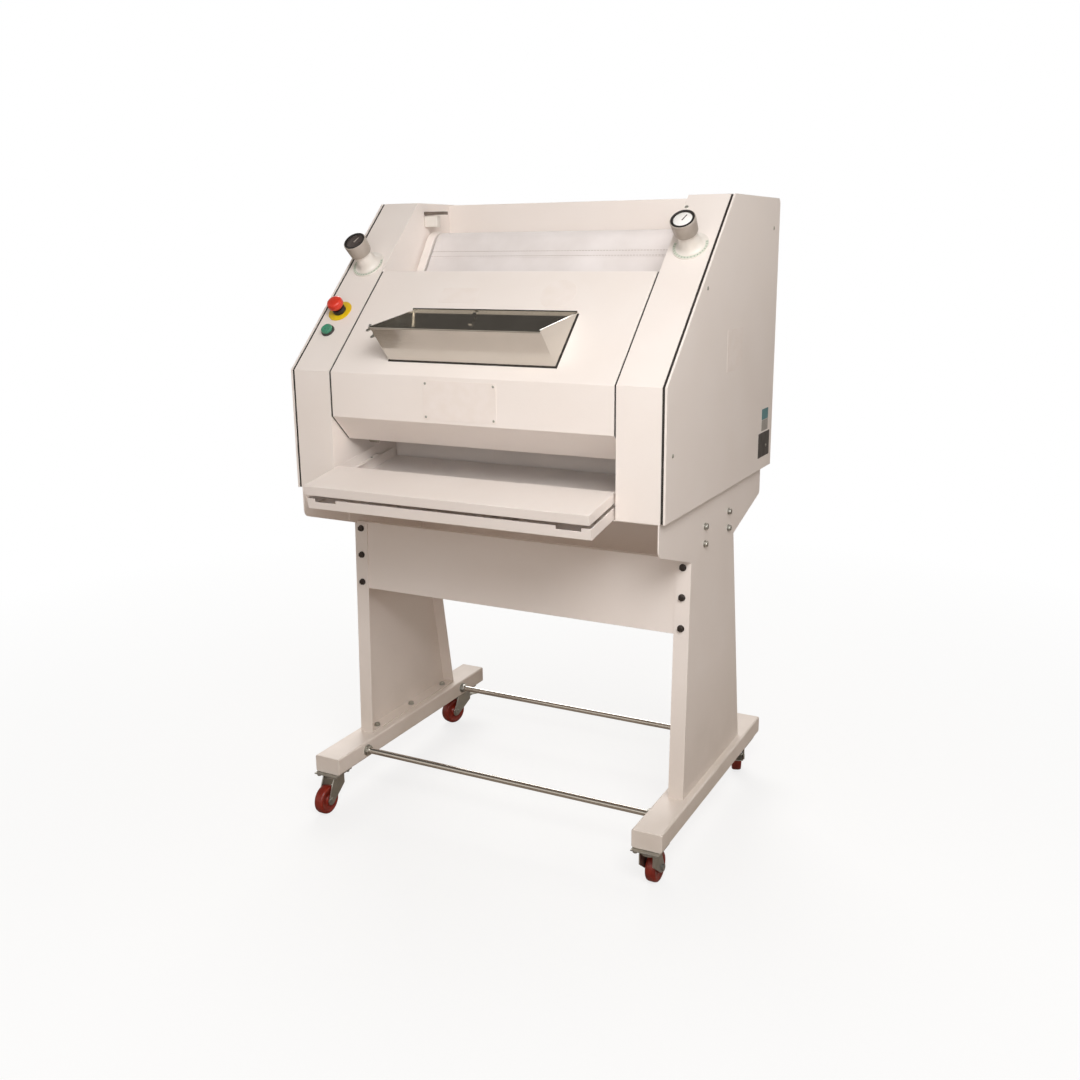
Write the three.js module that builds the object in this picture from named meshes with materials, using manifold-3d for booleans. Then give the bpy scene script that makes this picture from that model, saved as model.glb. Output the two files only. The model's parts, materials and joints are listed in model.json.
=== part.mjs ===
// Bread moulder: a free-standing bakery machine on a wheeled stand.
// Millimetres, +Z up. The machine stands on the plane z = 0 and its front faces -Y.
// The origin is under the middle of the whole machine.
import * as THREE from 'three';
import { mergeVertices } from 'three/addons/utils/BufferGeometryUtils.js';
import Module from 'manifold-3d';

const wasm = await Module();
wasm.setup();

// Clearances and overruns
const clearance = 0.3;
const overrun = 5;
const arcSteps = 4;
const roundSides = 20;
const fineSides = 28;
const hexSides = 6;

// Driving sizes of the body; the trays reach out in front of it and the feet stand out at its sides
const body = {
  width: 966, depth: 775, slopeRun: 410, slopeRise: 393, topRadius: 14, seamGap: 4.6, trayReach: 125,
};
const bodySideX = body.width / 2;
const bodyBackY = (body.depth + body.trayReach) / 2;
const bodyFrontY = bodyBackY - body.depth;
const fromFront = (distance) => bodyFrontY + distance;
const fromBack = (distance) => bodyBackY - distance;

const cabinet = { width: 102.4, sheet: 2, sealFlange: 16 };
const seal = { thick: 6, inset: 1, width: 11 };
const panel = { thick: 5, sheet: 1.5, edge: 14 };
const panelInnerX = bodySideX - panel.thick;
const cabinetOuterX = panelInnerX - seal.thick;
const cabinetInnerX = cabinetOuterX - cabinet.width;
const stripCentreX = (cabinetInnerX + cabinetOuterX) / 2;

// Stand
const caster = {
  height: 105, insetFront: 23, insetBack: 75, plateSize: 70, plateThick: 3, raceRadius: 25, raceHeight: 9,
  pinRadius: 6, pinLength: 8,
};
const casterTurnDegrees = { left_front: 0, right_front: 180, left_rear: -17, right_rear: 200 };
const wheel = { radius: 37.5, width: 28, bore: 6.3, hubRadius: 13, rimRadius: 28, dish: 3, edge: 4, lip: 1 };
const fork = {
  trail: 35, sheet: 3, sideGap: 1.5, topThick: 4, topRadius: 22, bossRadius: 13, bossEndDegrees: 310,
  boltHead: 4, boltRadius: 9,
};
const pedal = {
  pivotY: 16, pivotRise: 30.5, width: 22, reach: 46, thick: 3, padDrop: 24, pinRadius: 3, padBack: 11,
};
const foot = { width: 75, height: 46, outset: 4, fromFront: 5, fromBack: 18, corner: 5 };
const footX = bodySideX + foot.outset - foot.width / 2;
const footFrontY = fromFront(foot.fromFront);
const footBackY = fromBack(foot.fromBack);
const footBottomZ = caster.height;
const footTopZ = footBottomZ + foot.height;
const leg = {
  inset: 13, height: 721, sheet: 3, flange: 38, footFromFront: 186, footFromBack: 162, topFromFront: 206,
  topFromBack: 260, flangeDrop: 134, gussetDrop: 72, gussetFromBack: 45, gussetCorner: 20,
};
const legOuterX = bodySideX - leg.inset;
const bodyBottomZ = footTopZ + leg.height;
const flangeTopZ = bodyBottomZ - leg.flangeDrop;
const apron = { height: 180, drop: 130, sheet: 2, lip: 15 };
const apronTopZ = bodyBottomZ - apron.drop;
const tieRod = { radius: 8, fromFront: 131, fromBack: 146, nutRadius: 13, nutLength: 9 };
const basePan = {
  sheet: 3, sideDrop: 120, sideFromFront: 175, sideFromBack: 250, chuteFromFront: 265, chuteHeight: 113,
};

// Running gear; its height above the base sets where the cover bends
const belt = { thick: 4, sideGap: 3, lowFromFront: 195, lowRise: 158, topFromFront: 473, topDrop: 117 };
const beltRoller = { radius: 38, journal: 12, seat: 2 };
const beltSide = { thick: 29.6, radius: 45 };
const sheeter = { radius: 32, sideGap: 22.6, fromFront: 63, rise: 88, pitch: 72, rearDrop: 6, coverGap: 42 };
const bearing = { radius: 22, length: 12 };
const carriage = {
  cheek: 10, frontReach: 38, backReach: 36, halfHeight: 36, pinRadius: 6, pinRise: 18, travel: 15, sideGap: 1,
};
const scraper = { blade: 3.5, rise: 54, bar: 18, lean: 26, skin: 12 };
const board = {
  gap: 18, sheet: 3, startDegrees: 160, endDegrees: 228, leadRun: 110, leadRise: 48, cheek: 24,
  cheekDepth: 20, pinRadius: 5, pinFromStart: 5, pinFromEnd: 13, travel: 15,
};
const beltLowY = fromFront(belt.lowFromFront);
const beltLowZ = bodyBottomZ + belt.lowRise;
const sheeterFrontY = fromFront(sheeter.fromFront);
const sheeterFrontZ = beltLowZ + sheeter.rise;
const sheeterRearY = sheeterFrontY + sheeter.pitch;
const sheeterRearZ = sheeterFrontZ - sheeter.rearDrop;
const bodyBendZ = sheeterFrontZ + sheeter.coverGap;
const bodyTopZ = bodyBendZ + body.slopeRise;
const beltTopY = fromFront(belt.topFromFront);
const beltTopZ = bodyTopZ - belt.topDrop;
const beltRollerHalf = cabinetInnerX - beltSide.thick - beltRoller.seat;
const beltHalf = beltRollerHalf - belt.sideGap;
const sheeterHalf = cabinetInnerX - sheeter.sideGap;

const motor = {
  fromBack: 130, rise: 88, radius: 66, wallGap: 39.6, length: 210, fins: 4, finDepth: 6, flange: 76,
  footThick: 14,
};
const motorY = fromBack(motor.fromBack);
const motorZ = bodyBottomZ + motor.rise;
const motorEndX = cabinetInnerX - motor.wallGap;
const motorShaft = { radius: 10 };
const pulley = { wallGap: 32.4, width: 16, web: 3, driveRadius: 70, motorRadius: 36, belt: 6 };
const pulleyStartX = cabinetInnerX + pulley.wallGap;
const pulleyEndX = pulleyStartX + pulley.width;

// Covers, hopper and trays
const rearCover = { beltGap: 10, wallDrop: 153, sheet: 2, drop: 2, footGap: 3 };
const rearCoverFrontY = beltTopY + beltRoller.radius + belt.thick + rearCover.beltGap;
const cover = {
  sheet: 3, edge: 18, topShare: 0.575, noseDepth: 106, noseRun: 61, noseDrop: 62, hingeIn: 13, hingeDepth: 10,
  hingeRadius: 6,
};
const coverHalf = cabinetInnerX - body.seamGap;
const coverNoseZ = bodyBendZ - cover.noseDepth;
const hopper = {
  sideIn: 149, sheet: 1.5, startS: 41, height: 109, lean: 4, backS: 196, throatStart: 48, throatEnd: 108,
  throatIn: 16, rim: 4, guideX: -66, guideStart: 124, guideEnd: 172, guideHeight: 16,
};
const hopperHalf = coverHalf - hopper.sideIn;
const throatHalf = hopperHalf - hopper.throatIn;
const wingScrew = { shaft: 3, hub: 6, hubLength: 9, wingSpan: 10.4, wingThick: 2.5, standOff: 3, s: 56 };
const wingScrewHeightShares = { upper: 0.86, lower: 0.66 };
const tray = {
  slopeDegrees: 10, sheet: 2, upperLip: 23, lowerLip: 25, backLip: 10, plateLength: 137, upperLength: 290,
  lowerLength: 368, upperRise: 36.5, lowerRise: 5.5, lowerIn: 10, notchLength: 60, notchHeight: 8,
  notchIn: 22,
};
const trayHalf = cabinetInnerX - body.seamGap;
const upperTrayY = fromFront(-body.trayReach);
const upperTrayZ = bodyBottomZ + tray.upperRise;
const lowerTrayY = upperTrayY + tray.lowerIn;
const lowerTrayZ = bodyBottomZ + tray.lowerRise;
const rail = { width: 16, thick: 3, upperStart: 134, upperEnd: 300, lowerStart: 152, lowerEnd: 366 };

// Controls; S is the way up the sloping face from its bend and H the height off it
const knob = {
  radius: 32, taper: 2, height: 48, topH: 80, leftS: 349, rightS: 403, dialDepth: 3, dialRadius: 22,
  dialDraft: 1,
};
const knobCollar = {
  flangeRadius: 42, flangeThick: 2, stemRadius: 22, stemDraft: 1, shaft: 6, shaftDepth: 14,
};
const stopButton = {
  outward: 9.2, s: 190, discRadius: 31, discThick: 1.5, collarRadius: 16, collarHeight: 12, headRadius: 20,
  headH: 20, topH: 39, stem: 9, barrel: 11, barrelDepth: 30, travel: 5,
};
const stopButtonX = stripCentreX + stopButton.outward;
const startButton = {
  outward: 13.2, s: 125, bezelRadius: 17, bezelHeight: 5, capRadius: 14, capTop: 12, stem: 6, barrel: 11,
  barrelDepth: 26, well: 3, draft: 1, travel: 2.5,
};
const startButtonX = stripCentreX + startButton.outward;
const switchBox = {
  length: 40, depth: 20, height: 30, fromFront: 447, drop: 21, barLength: 62, barHeight: 8, barOver: 1,
};

// Finishes: colour, roughness, metalness
const powderCoat = ['#f1ece4', 0.45, 0];
const stainless = ['#c9c9c6', 0.22, 1];
const zinc = ['#b4b3ad', 0.4, 1];
const blackRubber = ['#2b2724', 0.7, 0];
const wheelTread = ['#a8321f', 0.45, 0];
const felt = ['#e6dedc', 0.95, 0];
const motorPaint = ['#5d6468', 0.5, 0.3];
const collarPlastic = ['#ece8e2', 0.4, 0];
const knobPlastic = ['#b9afa6', 0.45, 0.2];
const yellowPlastic = ['#e9c81f', 0.45, 0];
const redPlastic = ['#e2402c', 0.4, 0];
const greenPlastic = ['#3f9a76', 0.4, 0];
const blackPlastic = ['#33302d', 0.5, 0];

const machine = new THREE.Group();
const slopeAngle = Math.atan2(body.slopeRise, body.slopeRun);
const degree = Math.PI / 180;

// Shape helpers
function flat(points) {
  return points.map(([u, v]) => new THREE.Vector2(u, v));
}

function extrude(points, depth, holes = []) {
  const shape = new THREE.Shape(flat(points));
  for (const hole of holes) shape.holes.push(new THREE.Path(flat(hole)));
  return new THREE.ExtrudeGeometry(shape, { depth, bevelEnabled: false });
}

// A (y, z) outline pushed along X
function alongX(points, from, to, holes = []) {
  const turned = new THREE.Matrix4().makeBasis(
    new THREE.Vector3(0, 1, 0), new THREE.Vector3(0, 0, 1), new THREE.Vector3(1, 0, 0));
  return extrude(points, to - from, holes).applyMatrix4(turned).translate(from, 0, 0);
}

// An (x, z) outline pushed along Y
function alongY(points, from, to, holes = []) {
  return extrude(points, to - from, holes).rotateX(Math.PI / 2).translate(0, to, 0);
}

// An (x, y) outline pushed along Z
function alongZ(points, from, to, holes = []) {
  return extrude(points, to - from, holes).translate(0, 0, from);
}

function block([x0, x1], [y0, y1], [z0, z1]) {
  const solid = new THREE.BoxGeometry(x1 - x0, y1 - y0, z1 - z0);
  return solid.translate((x0 + x1) / 2, (y0 + y1) / 2, (z0 + z1) / 2);
}

// The two ends, in rising order, of a piece on the +X or the -X side
function sideSpan(way, near, far) {
  return [way * near, way * far].sort((low, high) => low - high);
}

function rodX(radius, [from, to], y, z, sides = roundSides) {
  const solid = new THREE.CylinderGeometry(radius, radius, to - from, sides);
  return solid.rotateZ(-Math.PI / 2).translate((from + to) / 2, y, z);
}

function rodZ(radius, from, to, sides = roundSides) {
  const solid = new THREE.CylinderGeometry(radius, radius, to - from, sides);
  return solid.rotateX(Math.PI / 2).translate(0, 0, (from + to) / 2);
}

// A turned piece about Z: the profile is a list of [radius, height]
function turnedZ(profile, sides = roundSides) {
  return new THREE.LatheGeometry(flat(profile), sides).rotateX(Math.PI / 2);
}

function turnedX(profile, sides = roundSides) {
  return new THREE.LatheGeometry(flat(profile), sides).rotateZ(-Math.PI / 2);
}

function asSolid(geometry) {
  const bare = geometry.clone();
  bare.deleteAttribute('normal');
  bare.deleteAttribute('uv');
  const merged = mergeVertices(bare);
  const vertProperties = new Float32Array(merged.attributes.position.array);
  const triVerts = new Uint32Array(merged.index.array);
  return new wasm.Manifold(new wasm.Mesh({ numProp: 3, vertProperties, triVerts }));
}

function asGeometry(solid) {
  const mesh = solid.getMesh();
  const geometry = new THREE.BufferGeometry();
  geometry.setAttribute('position', new THREE.BufferAttribute(new Float32Array(mesh.vertProperties), 3));
  geometry.setIndex(new THREE.BufferAttribute(new Uint32Array(mesh.triVerts), 1));
  geometry.computeVertexNormals();
  return geometry;
}

function join(first, ...rest) {
  return asGeometry(rest.reduce((solid, next) => solid.add(asSolid(next)), asSolid(first)));
}

function cut(first, ...rest) {
  return asGeometry(rest.reduce((solid, next) => solid.subtract(asSolid(next)), asSolid(first)));
}

// The same piece on the other side of the machine
function mirrored(geometry) {
  const copy = mergeVertices(geometry.clone().scale(-1, 1, 1));
  const index = copy.index.array;
  for (let i = 0; i < index.length; i += 3) {
    [index[i], index[i + 1]] = [index[i + 1], index[i]];
  }
  copy.computeVertexNormals();
  return copy;
}

// Moves a (u, v) outline inwards; the outline runs anticlockwise
function inset(points, distance) {
  return points.map((point, i) => {
    const before = points[(i + points.length - 1) % points.length];
    const after = points[(i + 1) % points.length];
    return mitre(before, point, after, distance);
  });
}

function leftOf([u0, v0], [u1, v1]) {
  const length = Math.hypot(u1 - u0, v1 - v0);
  return [(v0 - v1) / length, (u1 - u0) / length];
}

function mitre(before, point, after, distance) {
  const a = leftOf(before, point);
  const b = leftOf(point, after);
  const spread = 1 + a[0] * b[0] + a[1] * b[1];
  return [point[0] + distance * (a[0] + b[0]) / spread, point[1] + distance * (a[1] + b[1]) / spread];
}

// A bent sheet: an open path thickened to its left
function bentSheet(path, thick) {
  const last = path.length - 1;
  const other = path.map((point, i) => {
    const before = i > 0 ? path[i - 1] : null;
    const after = i < last ? path[i + 1] : null;
    if (before && after) return mitre(before, point, after, thick);
    const [du, dv] = before ? leftOf(before, point) : leftOf(point, after);
    return [point[0] + thick * du, point[1] + thick * dv];
  });
  return [...path, ...other.reverse()];
}

function arc(cu, cv, radius, fromAngle, toAngle, steps = arcSteps) {
  const points = [];
  for (let i = 0; i <= steps; i += 1) {
    const angle = fromAngle + (toAngle - fromAngle) * i / steps;
    points.push([cu + radius * Math.cos(angle), cv + radius * Math.sin(angle)]);
  }
  return points;
}

// Rounds one corner of an outline
function rounded(before, corner, after, radius) {
  const toBefore = Math.atan2(before[1] - corner[1], before[0] - corner[0]);
  const toAfter = Math.atan2(after[1] - corner[1], after[0] - corner[0]);
  let opening = toAfter - toBefore;
  while (opening > Math.PI) opening -= 2 * Math.PI;
  while (opening < -Math.PI) opening += 2 * Math.PI;
  const middle = toBefore + opening / 2;
  const reach = radius / Math.sin(Math.abs(opening) / 2);
  const centre = [corner[0] + reach * Math.cos(middle), corner[1] + reach * Math.sin(middle)];
  const side = Math.sign(opening);
  const start = toBefore - side * Math.PI / 2;
  const end = toAfter + side * Math.PI / 2 - side * 2 * Math.PI;
  let sweep = end - start;
  while (sweep > Math.PI) sweep -= 2 * Math.PI;
  while (sweep < -Math.PI) sweep += 2 * Math.PI;
  return arc(centre[0], centre[1], radius, start, start + sweep);
}

function roundedOutline(points, radii) {
  return points.flatMap((point, i) => {
    if (!radii[i]) return [point];
    const before = points[(i + points.length - 1) % points.length];
    const after = points[(i + 1) % points.length];
    return rounded(before, point, after, radii[i]);
  });
}

function roundedBox(u0, u1, v0, v1, radius) {
  return roundedOutline([[u0, v0], [u1, v0], [u1, v1], [u0, v1]], [radius, radius, radius, radius]);
}

// The loop round two circles, as a belt lies round two pulleys
function loopRound(first, second, steps = 3 * arcSteps) {
  const du = second.u - first.u;
  const dv = second.v - first.v;
  const direction = Math.atan2(dv, du);
  const spread = Math.acos((first.r - second.r) / Math.hypot(du, dv));
  return [
    ...arc(first.u, first.v, first.r, direction + spread, direction + 2 * Math.PI - spread, steps),
    ...arc(second.u, second.v, second.r, direction - spread, direction + spread, steps),
  ];
}

function put(name, geometry, [color, roughness, metalness], parent = machine) {
  const mesh = new THREE.Mesh(geometry, new THREE.MeshStandardMaterial({ color, roughness, metalness }));
  mesh.name = name;
  parent.add(mesh);
  return mesh;
}

// A place on the sloping face: x, the way up the slope from the bend, and the height off the face
function slopePoint(s, height = 0) {
  return [
    bodyFrontY + s * Math.cos(slopeAngle) - height * Math.sin(slopeAngle),
    bodyBendZ + s * Math.sin(slopeAngle) + height * Math.cos(slopeAngle),
  ];
}

// A group whose x, y and z run across, up and off the sloping face
function slopeGroup(x, s) {
  const group = new THREE.Group();
  const [y, z] = slopePoint(s, clearance);
  group.position.set(x, y, z);
  group.rotation.x = slopeAngle;
  machine.add(group);
  return group;
}

// The stand
function makeFoot() {
  const outline = roundedBox(-foot.width / 2, foot.width / 2, footBottomZ, footTopZ, foot.corner);
  return alongY(outline, footFrontY, footBackY).translate(footX, 0, 0);
}

const legFrontFootY = fromFront(leg.footFromFront);
const legFrontTopY = fromFront(leg.topFromFront);
const legBackFootY = fromBack(leg.footFromBack);
const legBackTopY = fromBack(leg.topFromBack);
const gussetBackY = fromBack(leg.gussetFromBack);

function frontEdgeAt(z) {
  const share = (z - footTopZ) / (flangeTopZ - footTopZ);
  return legFrontFootY + share * (legFrontTopY - legFrontFootY);
}

function backEdgeAt(z) {
  const share = (z - footTopZ) / (flangeTopZ - footTopZ);
  return legBackFootY + share * (legBackTopY - legBackFootY);
}

function makeLeg() {
  const gussetZ = bodyBottomZ - leg.gussetDrop;
  const web = roundedOutline([
    [legFrontFootY, footTopZ], [legBackFootY, footTopZ], [legBackTopY, flangeTopZ],
    [gussetBackY, gussetZ], [gussetBackY, bodyBottomZ], [bodyFrontY, bodyBottomZ],
    [bodyFrontY, gussetZ], [legFrontTopY, flangeTopZ],
  ], [0, 0, 0, leg.gussetCorner / 2, 0, 0, leg.gussetCorner, 0]);
  const innerX = legOuterX - leg.flange;
  const frontFlange = bentSheet([[legFrontTopY, flangeTopZ], [legFrontFootY, footTopZ]], leg.sheet);
  const backFlange = bentSheet([[legBackFootY, footTopZ], [legBackTopY, flangeTopZ]], leg.sheet);
  const sole = block([innerX, legOuterX], [legFrontFootY, legBackFootY], [footTopZ, footTopZ + leg.sheet]);
  const below = block([innerX - overrun, legOuterX + overrun],
    [legFrontFootY - overrun, legBackFootY + overrun], [footBottomZ, footTopZ]);
  return cut(join(alongX(web, legOuterX - leg.sheet, legOuterX), alongX(frontFlange, innerX, legOuterX),
    alongX(backFlange, innerX, legOuterX), sole), below);
}

// A folded apron between the legs, tucked behind the leg flanges
function makeApron(edgeAt, inward) {
  const lowZ = apronTopZ - apron.height;
  const halfLength = legOuterX - leg.sheet - clearance;
  const lean = Math.atan2(edgeAt(apronTopZ) - edgeAt(lowZ), apron.height);
  const behind = inward * (leg.sheet + clearance) / Math.cos(lean);
  const topY = edgeAt(apronTopZ) + behind;
  const lowY = edgeAt(lowZ) + behind;
  const path = [
    [topY + inward * apron.lip, apronTopZ], [topY, apronTopZ],
    [lowY, lowZ], [lowY + inward * apron.lip, lowZ],
  ];
  return alongX(bentSheet(path, inward * apron.sheet), -halfLength, halfLength);
}

function makeTieRod(y) {
  const inner = footX - foot.width / 2;
  const z = footBottomZ + foot.height / 2;
  const rod = rodX(tieRod.radius, [-inner, inner], y, z, roundSides / 2);
  const nuts = [-1, 1].map((side) =>
    rodX(tieRod.nutRadius, sideSpan(side, inner, inner - tieRod.nutLength), y, z, hexSides));
  return join(rod, ...nuts);
}

put('left_foot', mirrored(makeFoot()), powderCoat);
put('right_foot', makeFoot(), powderCoat);
put('left_leg', mirrored(makeLeg()), powderCoat);
put('right_leg', makeLeg(), powderCoat);
put('front_apron', makeApron(frontEdgeAt, 1), powderCoat);
put('rear_apron', makeApron(backEdgeAt, -1), powderCoat);
put('front_tie_rod', makeTieRod(fromFront(tieRod.fromFront)), stainless);
put('rear_tie_rod', makeTieRod(fromBack(tieRod.fromBack)), stainless);

// Casters: a fixed plate, a fork that swivels under it and a wheel; the rear ones have a brake pedal
const raceBottomZ = caster.height - caster.plateThick - caster.raceHeight;
const forkTopZ = raceBottomZ - clearance;
const cheekX = wheel.width / 2 + fork.sideGap;
const pedalPivotZ = wheel.radius + pedal.pivotRise;

function makeCasterPlate() {
  const half = caster.plateSize / 2;
  const plate = block([-half, half], [-half, half], [caster.height - caster.plateThick, caster.height]);
  const race = turnedZ([
    [0, raceBottomZ], [caster.raceRadius - caster.raceHeight / 3, raceBottomZ],
    [caster.raceRadius, raceBottomZ + caster.raceHeight / 3],
    [caster.raceRadius, caster.height - caster.plateThick],
    [0, caster.height - caster.plateThick],
  ]);
  const pinTop = forkTopZ + caster.pinLength + clearance;
  const bore = rodZ(caster.pinRadius + clearance, raceBottomZ - overrun, pinTop);
  return cut(join(plate, race), bore);
}

function makeFork() {
  const lowZ = forkTopZ - fork.topThick;
  const top = rodZ(fork.topRadius, lowZ, forkTopZ);
  const pin = rodZ(caster.pinRadius, lowZ, forkTopZ + caster.pinLength, roundSides / 2);
  const side = [
    [fork.topRadius, lowZ], [fork.topRadius, forkTopZ], [-fork.topRadius, forkTopZ],
    ...arc(-fork.trail, wheel.radius, fork.bossRadius, Math.PI, fork.bossEndDegrees * degree),
    [fork.topRadius, pedalPivotZ - pedal.pinRadius],
  ];
  const reach = cheekX + fork.sheet;
  const cheeks = [-1, 1].map((way) => alongX(side, ...sideSpan(way, cheekX, reach)));
  const bridge = block([-reach, reach], [-fork.topRadius / 2, fork.topRadius / 2], [lowZ, forkTopZ]);
  const axle = rodX(wheel.bore - clearance, [-reach, reach], -fork.trail, wheel.radius, roundSides / 2);
  const heads = [-1, 1].map((way) =>
    rodX(fork.boltRadius, sideSpan(way, reach, reach + fork.boltHead), -fork.trail, wheel.radius, hexSides));
  return join(top, pin, ...cheeks, bridge, axle, ...heads);
}

function makeWheel() {
  const half = wheel.width / 2;
  const { bore, hubRadius, rimRadius, radius, edge, dish, lip } = wheel;
  const profile = [
    [bore, -half], [hubRadius, -half], [hubRadius + edge / 2, dish - half], [rimRadius, dish - half],
    [rimRadius + edge / 2, lip - half], [radius - edge / 2, lip - half], [radius, edge - half],
    [radius, half - edge], [radius - edge / 2, half - lip], [rimRadius + edge / 2, half - lip],
    [rimRadius, half - dish], [hubRadius + edge / 2, half - dish], [hubRadius, half], [bore, half],
    [bore, -half],
  ];
  return turnedX(profile).translate(0, -fork.trail, wheel.radius);
}

function makePedal() {
  const { pivotY, thick } = pedal;
  const pivotZ = pedalPivotZ;
  const half = pedal.width / 2;
  const path = [
    [pivotY + pedal.reach, pivotZ + thick], [pivotY + pedal.reach / 2, pivotZ + 2 * thick],
    [pivotY, pivotZ + thick], [pivotY - pedal.padBack, pivotZ - thick],
    [pivotY - pedal.padBack, pivotZ - pedal.padDrop],
  ];
  const plate = alongX(bentSheet(path, thick), -half, half);
  const hub = rodX(pedal.pinRadius + thick, [-half, half], pivotY, pivotZ, roundSides / 2);
  const pin = rodX(pedal.pinRadius, [clearance - cheekX, cheekX - clearance], pivotY, pivotZ, roundSides / 2);
  return join(plate, hub, pin);
}

function makeCaster(name, side, y, braked) {
  const fixed = new THREE.Group();
  fixed.position.set(side * footX, y, 0);
  machine.add(fixed);
  put(`${name}_caster_plate`, makeCasterPlate(), zinc, fixed);
  const swivel = new THREE.Group();
  swivel.rotation.z = casterTurnDegrees[name] * degree;
  fixed.add(swivel);
  put(`${name}_caster_fork`, makeFork(), zinc, swivel);
  put(`${name}_caster_wheel`, makeWheel(), wheelTread, swivel);
  if (braked) put(`${name}_brake_pedal`, makePedal(), zinc, swivel);
}

const frontCasterY = footFrontY + caster.insetFront;
const backCasterY = footBackY - caster.insetBack;
makeCaster('left_front', -1, frontCasterY, false);
makeCaster('right_front', 1, frontCasterY, false);
makeCaster('left_rear', -1, backCasterY, true);
makeCaster('right_rear', 1, backCasterY, true);

// Base pan: a plate under the cabinets with side flanges between the leg gussets and an upright chute
function makeBasePan() {
  const half = legOuterX - leg.sheet;
  const topZ = bodyBottomZ;
  const plate = block([-half, half], [bodyFrontY + basePan.sheet, bodyBackY - basePan.sheet],
    [topZ - basePan.sheet, topZ]);
  const sides = [-1, 1].map((way) => block(sideSpan(way, half, half - basePan.sheet),
    [fromFront(basePan.sideFromFront), fromBack(basePan.sideFromBack)], [topZ - basePan.sideDrop, topZ]));
  const chuteHalf = cabinetInnerX - clearance;
  const chuteY = fromFront(basePan.chuteFromFront);
  const chute = block([-chuteHalf, chuteHalf], [chuteY, chuteY + basePan.sheet],
    [topZ - basePan.sheet, topZ + basePan.chuteHeight]);
  return join(plate, ...sides, chute);
}

put('base_pan', makeBasePan(), powderCoat);

// Cabinets: hollow side housings, open to the outside, with the running gear's holes in the inner wall
function silhouette(distance = 0) {
  const corners = inset([
    [bodyFrontY, bodyBottomZ], [bodyBackY, bodyBottomZ], [bodyBackY, bodyTopZ],
    [bodyFrontY + body.slopeRun, bodyTopZ], [bodyFrontY, bodyBendZ],
  ], distance);
  const radius = Math.max(body.topRadius - distance, clearance);
  return roundedOutline(corners, [0, 0, radius, 0, 0]);
}

const bearingEndX = cabinetInnerX + cabinet.sheet + bearing.length;
const wallEndX = cabinetInnerX + cabinet.sheet;
const coverTopS = cover.topShare * Math.hypot(body.slopeRun, body.slopeRise);
const hingePoint = slopePoint(coverTopS - cover.hingeIn, -cover.hingeDepth);
const boardRadius = beltRoller.radius + belt.thick + board.gap;
const boardPinRadius = boardRadius + board.cheekDepth / 2;
const boardPinDegrees = [board.startDegrees + board.pinFromStart, board.endDegrees - board.pinFromEnd];
const boardPins = boardPinDegrees.map((turn) => [
  beltLowY + boardPinRadius * Math.cos(turn * degree),
  beltLowZ + boardPinRadius * Math.sin(turn * degree),
]);
const carriagePins = [-1, 1].map((way) => [sheeterFrontY, sheeterFrontZ + way * carriage.pinRise]);

function wallHole(radius, [y, z], sides = roundSides) {
  return rodX(radius, [cabinetInnerX - overrun, bearingEndX + overrun], y, z, sides);
}

function guideSlot(radius, [y, z], travel) {
  const ends = loopRound({ u: y, v: z, r: radius }, { u: y - travel, v: z, r: radius }, arcSteps + 2);
  return alongX(ends, cabinetInnerX - overrun, bearingEndX);
}

function slopeHole(x, s, radius) {
  const drill = rodZ(radius, -2 * overrun, overrun);
  const [y, z] = slopePoint(s);
  return drill.rotateX(slopeAngle).translate(x, y, z);
}

// Runners for the two trays, on the inner wall
function makeRail(startY, frontZ, start, end) {
  const turn = tray.slopeDegrees * degree;
  const strip = block([cabinetInnerX - rail.width, cabinetInnerX + cabinet.sheet / 2], [start, end],
    [-rail.thick - clearance, -clearance]);
  return strip.rotateX(turn).translate(0, startY, frontZ);
}

function makeCabinet(isRight) {
  const shell = alongX(silhouette(), cabinetInnerX, cabinetOuterX);
  const hollow = alongX(silhouette(cabinet.sheet), wallEndX, cabinetOuterX - cabinet.sheet);
  const mouth = alongX(silhouette(cabinet.sealFlange), wallEndX + overrun, cabinetOuterX + overrun);
  const boss = rodX(bearing.radius, [wallEndX - cabinet.sheet / 2, bearingEndX], sheeterRearY, sheeterRearZ);
  const upright = Math.cos(tray.slopeDegrees * degree);
  const upperZ = upperTrayZ - tray.upperLip / upright;
  const lowerZ = lowerTrayZ - tray.lowerLip / upright;
  const upperRail = makeRail(upperTrayY, upperZ, rail.upperStart, rail.upperEnd);
  const lowerRail = makeRail(lowerTrayY, lowerZ, rail.lowerStart, rail.lowerEnd);
  const holes = [
    wallHole(beltRoller.journal + clearance, [sheeterRearY, sheeterRearZ]),
    wallHole(cover.hingeRadius + clearance, hingePoint, roundSides / 2),
    ...carriagePins.map((pin) => guideSlot(carriage.pinRadius + clearance, pin, carriage.travel)),
    ...boardPins.map((pin) => guideSlot(board.pinRadius + clearance, pin, board.travel)),
  ];
  if (isRight) {
    holes.push(wallHole(beltRoller.journal + 2 * clearance, [beltLowY, beltLowZ]));
    holes.push(wallHole(motorShaft.radius + overrun, [motorY, motorZ]));
    holes.push(slopeHole(stripCentreX, knob.rightS, knobCollar.shaft + clearance));
  } else {
    holes.push(slopeHole(stripCentreX, knob.leftS, knobCollar.shaft + clearance));
    holes.push(slopeHole(stopButtonX, stopButton.s, stopButton.barrel + clearance));
    holes.push(slopeHole(startButtonX, startButton.s, startButton.barrel + clearance));
  }
  return cut(join(cut(shell, hollow, mouth), boss, upperRail, lowerRail), ...holes);
}

function makeSeal() {
  return alongX(silhouette(seal.inset), cabinetOuterX, panelInnerX, [silhouette(seal.inset + seal.width)]);
}

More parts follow.
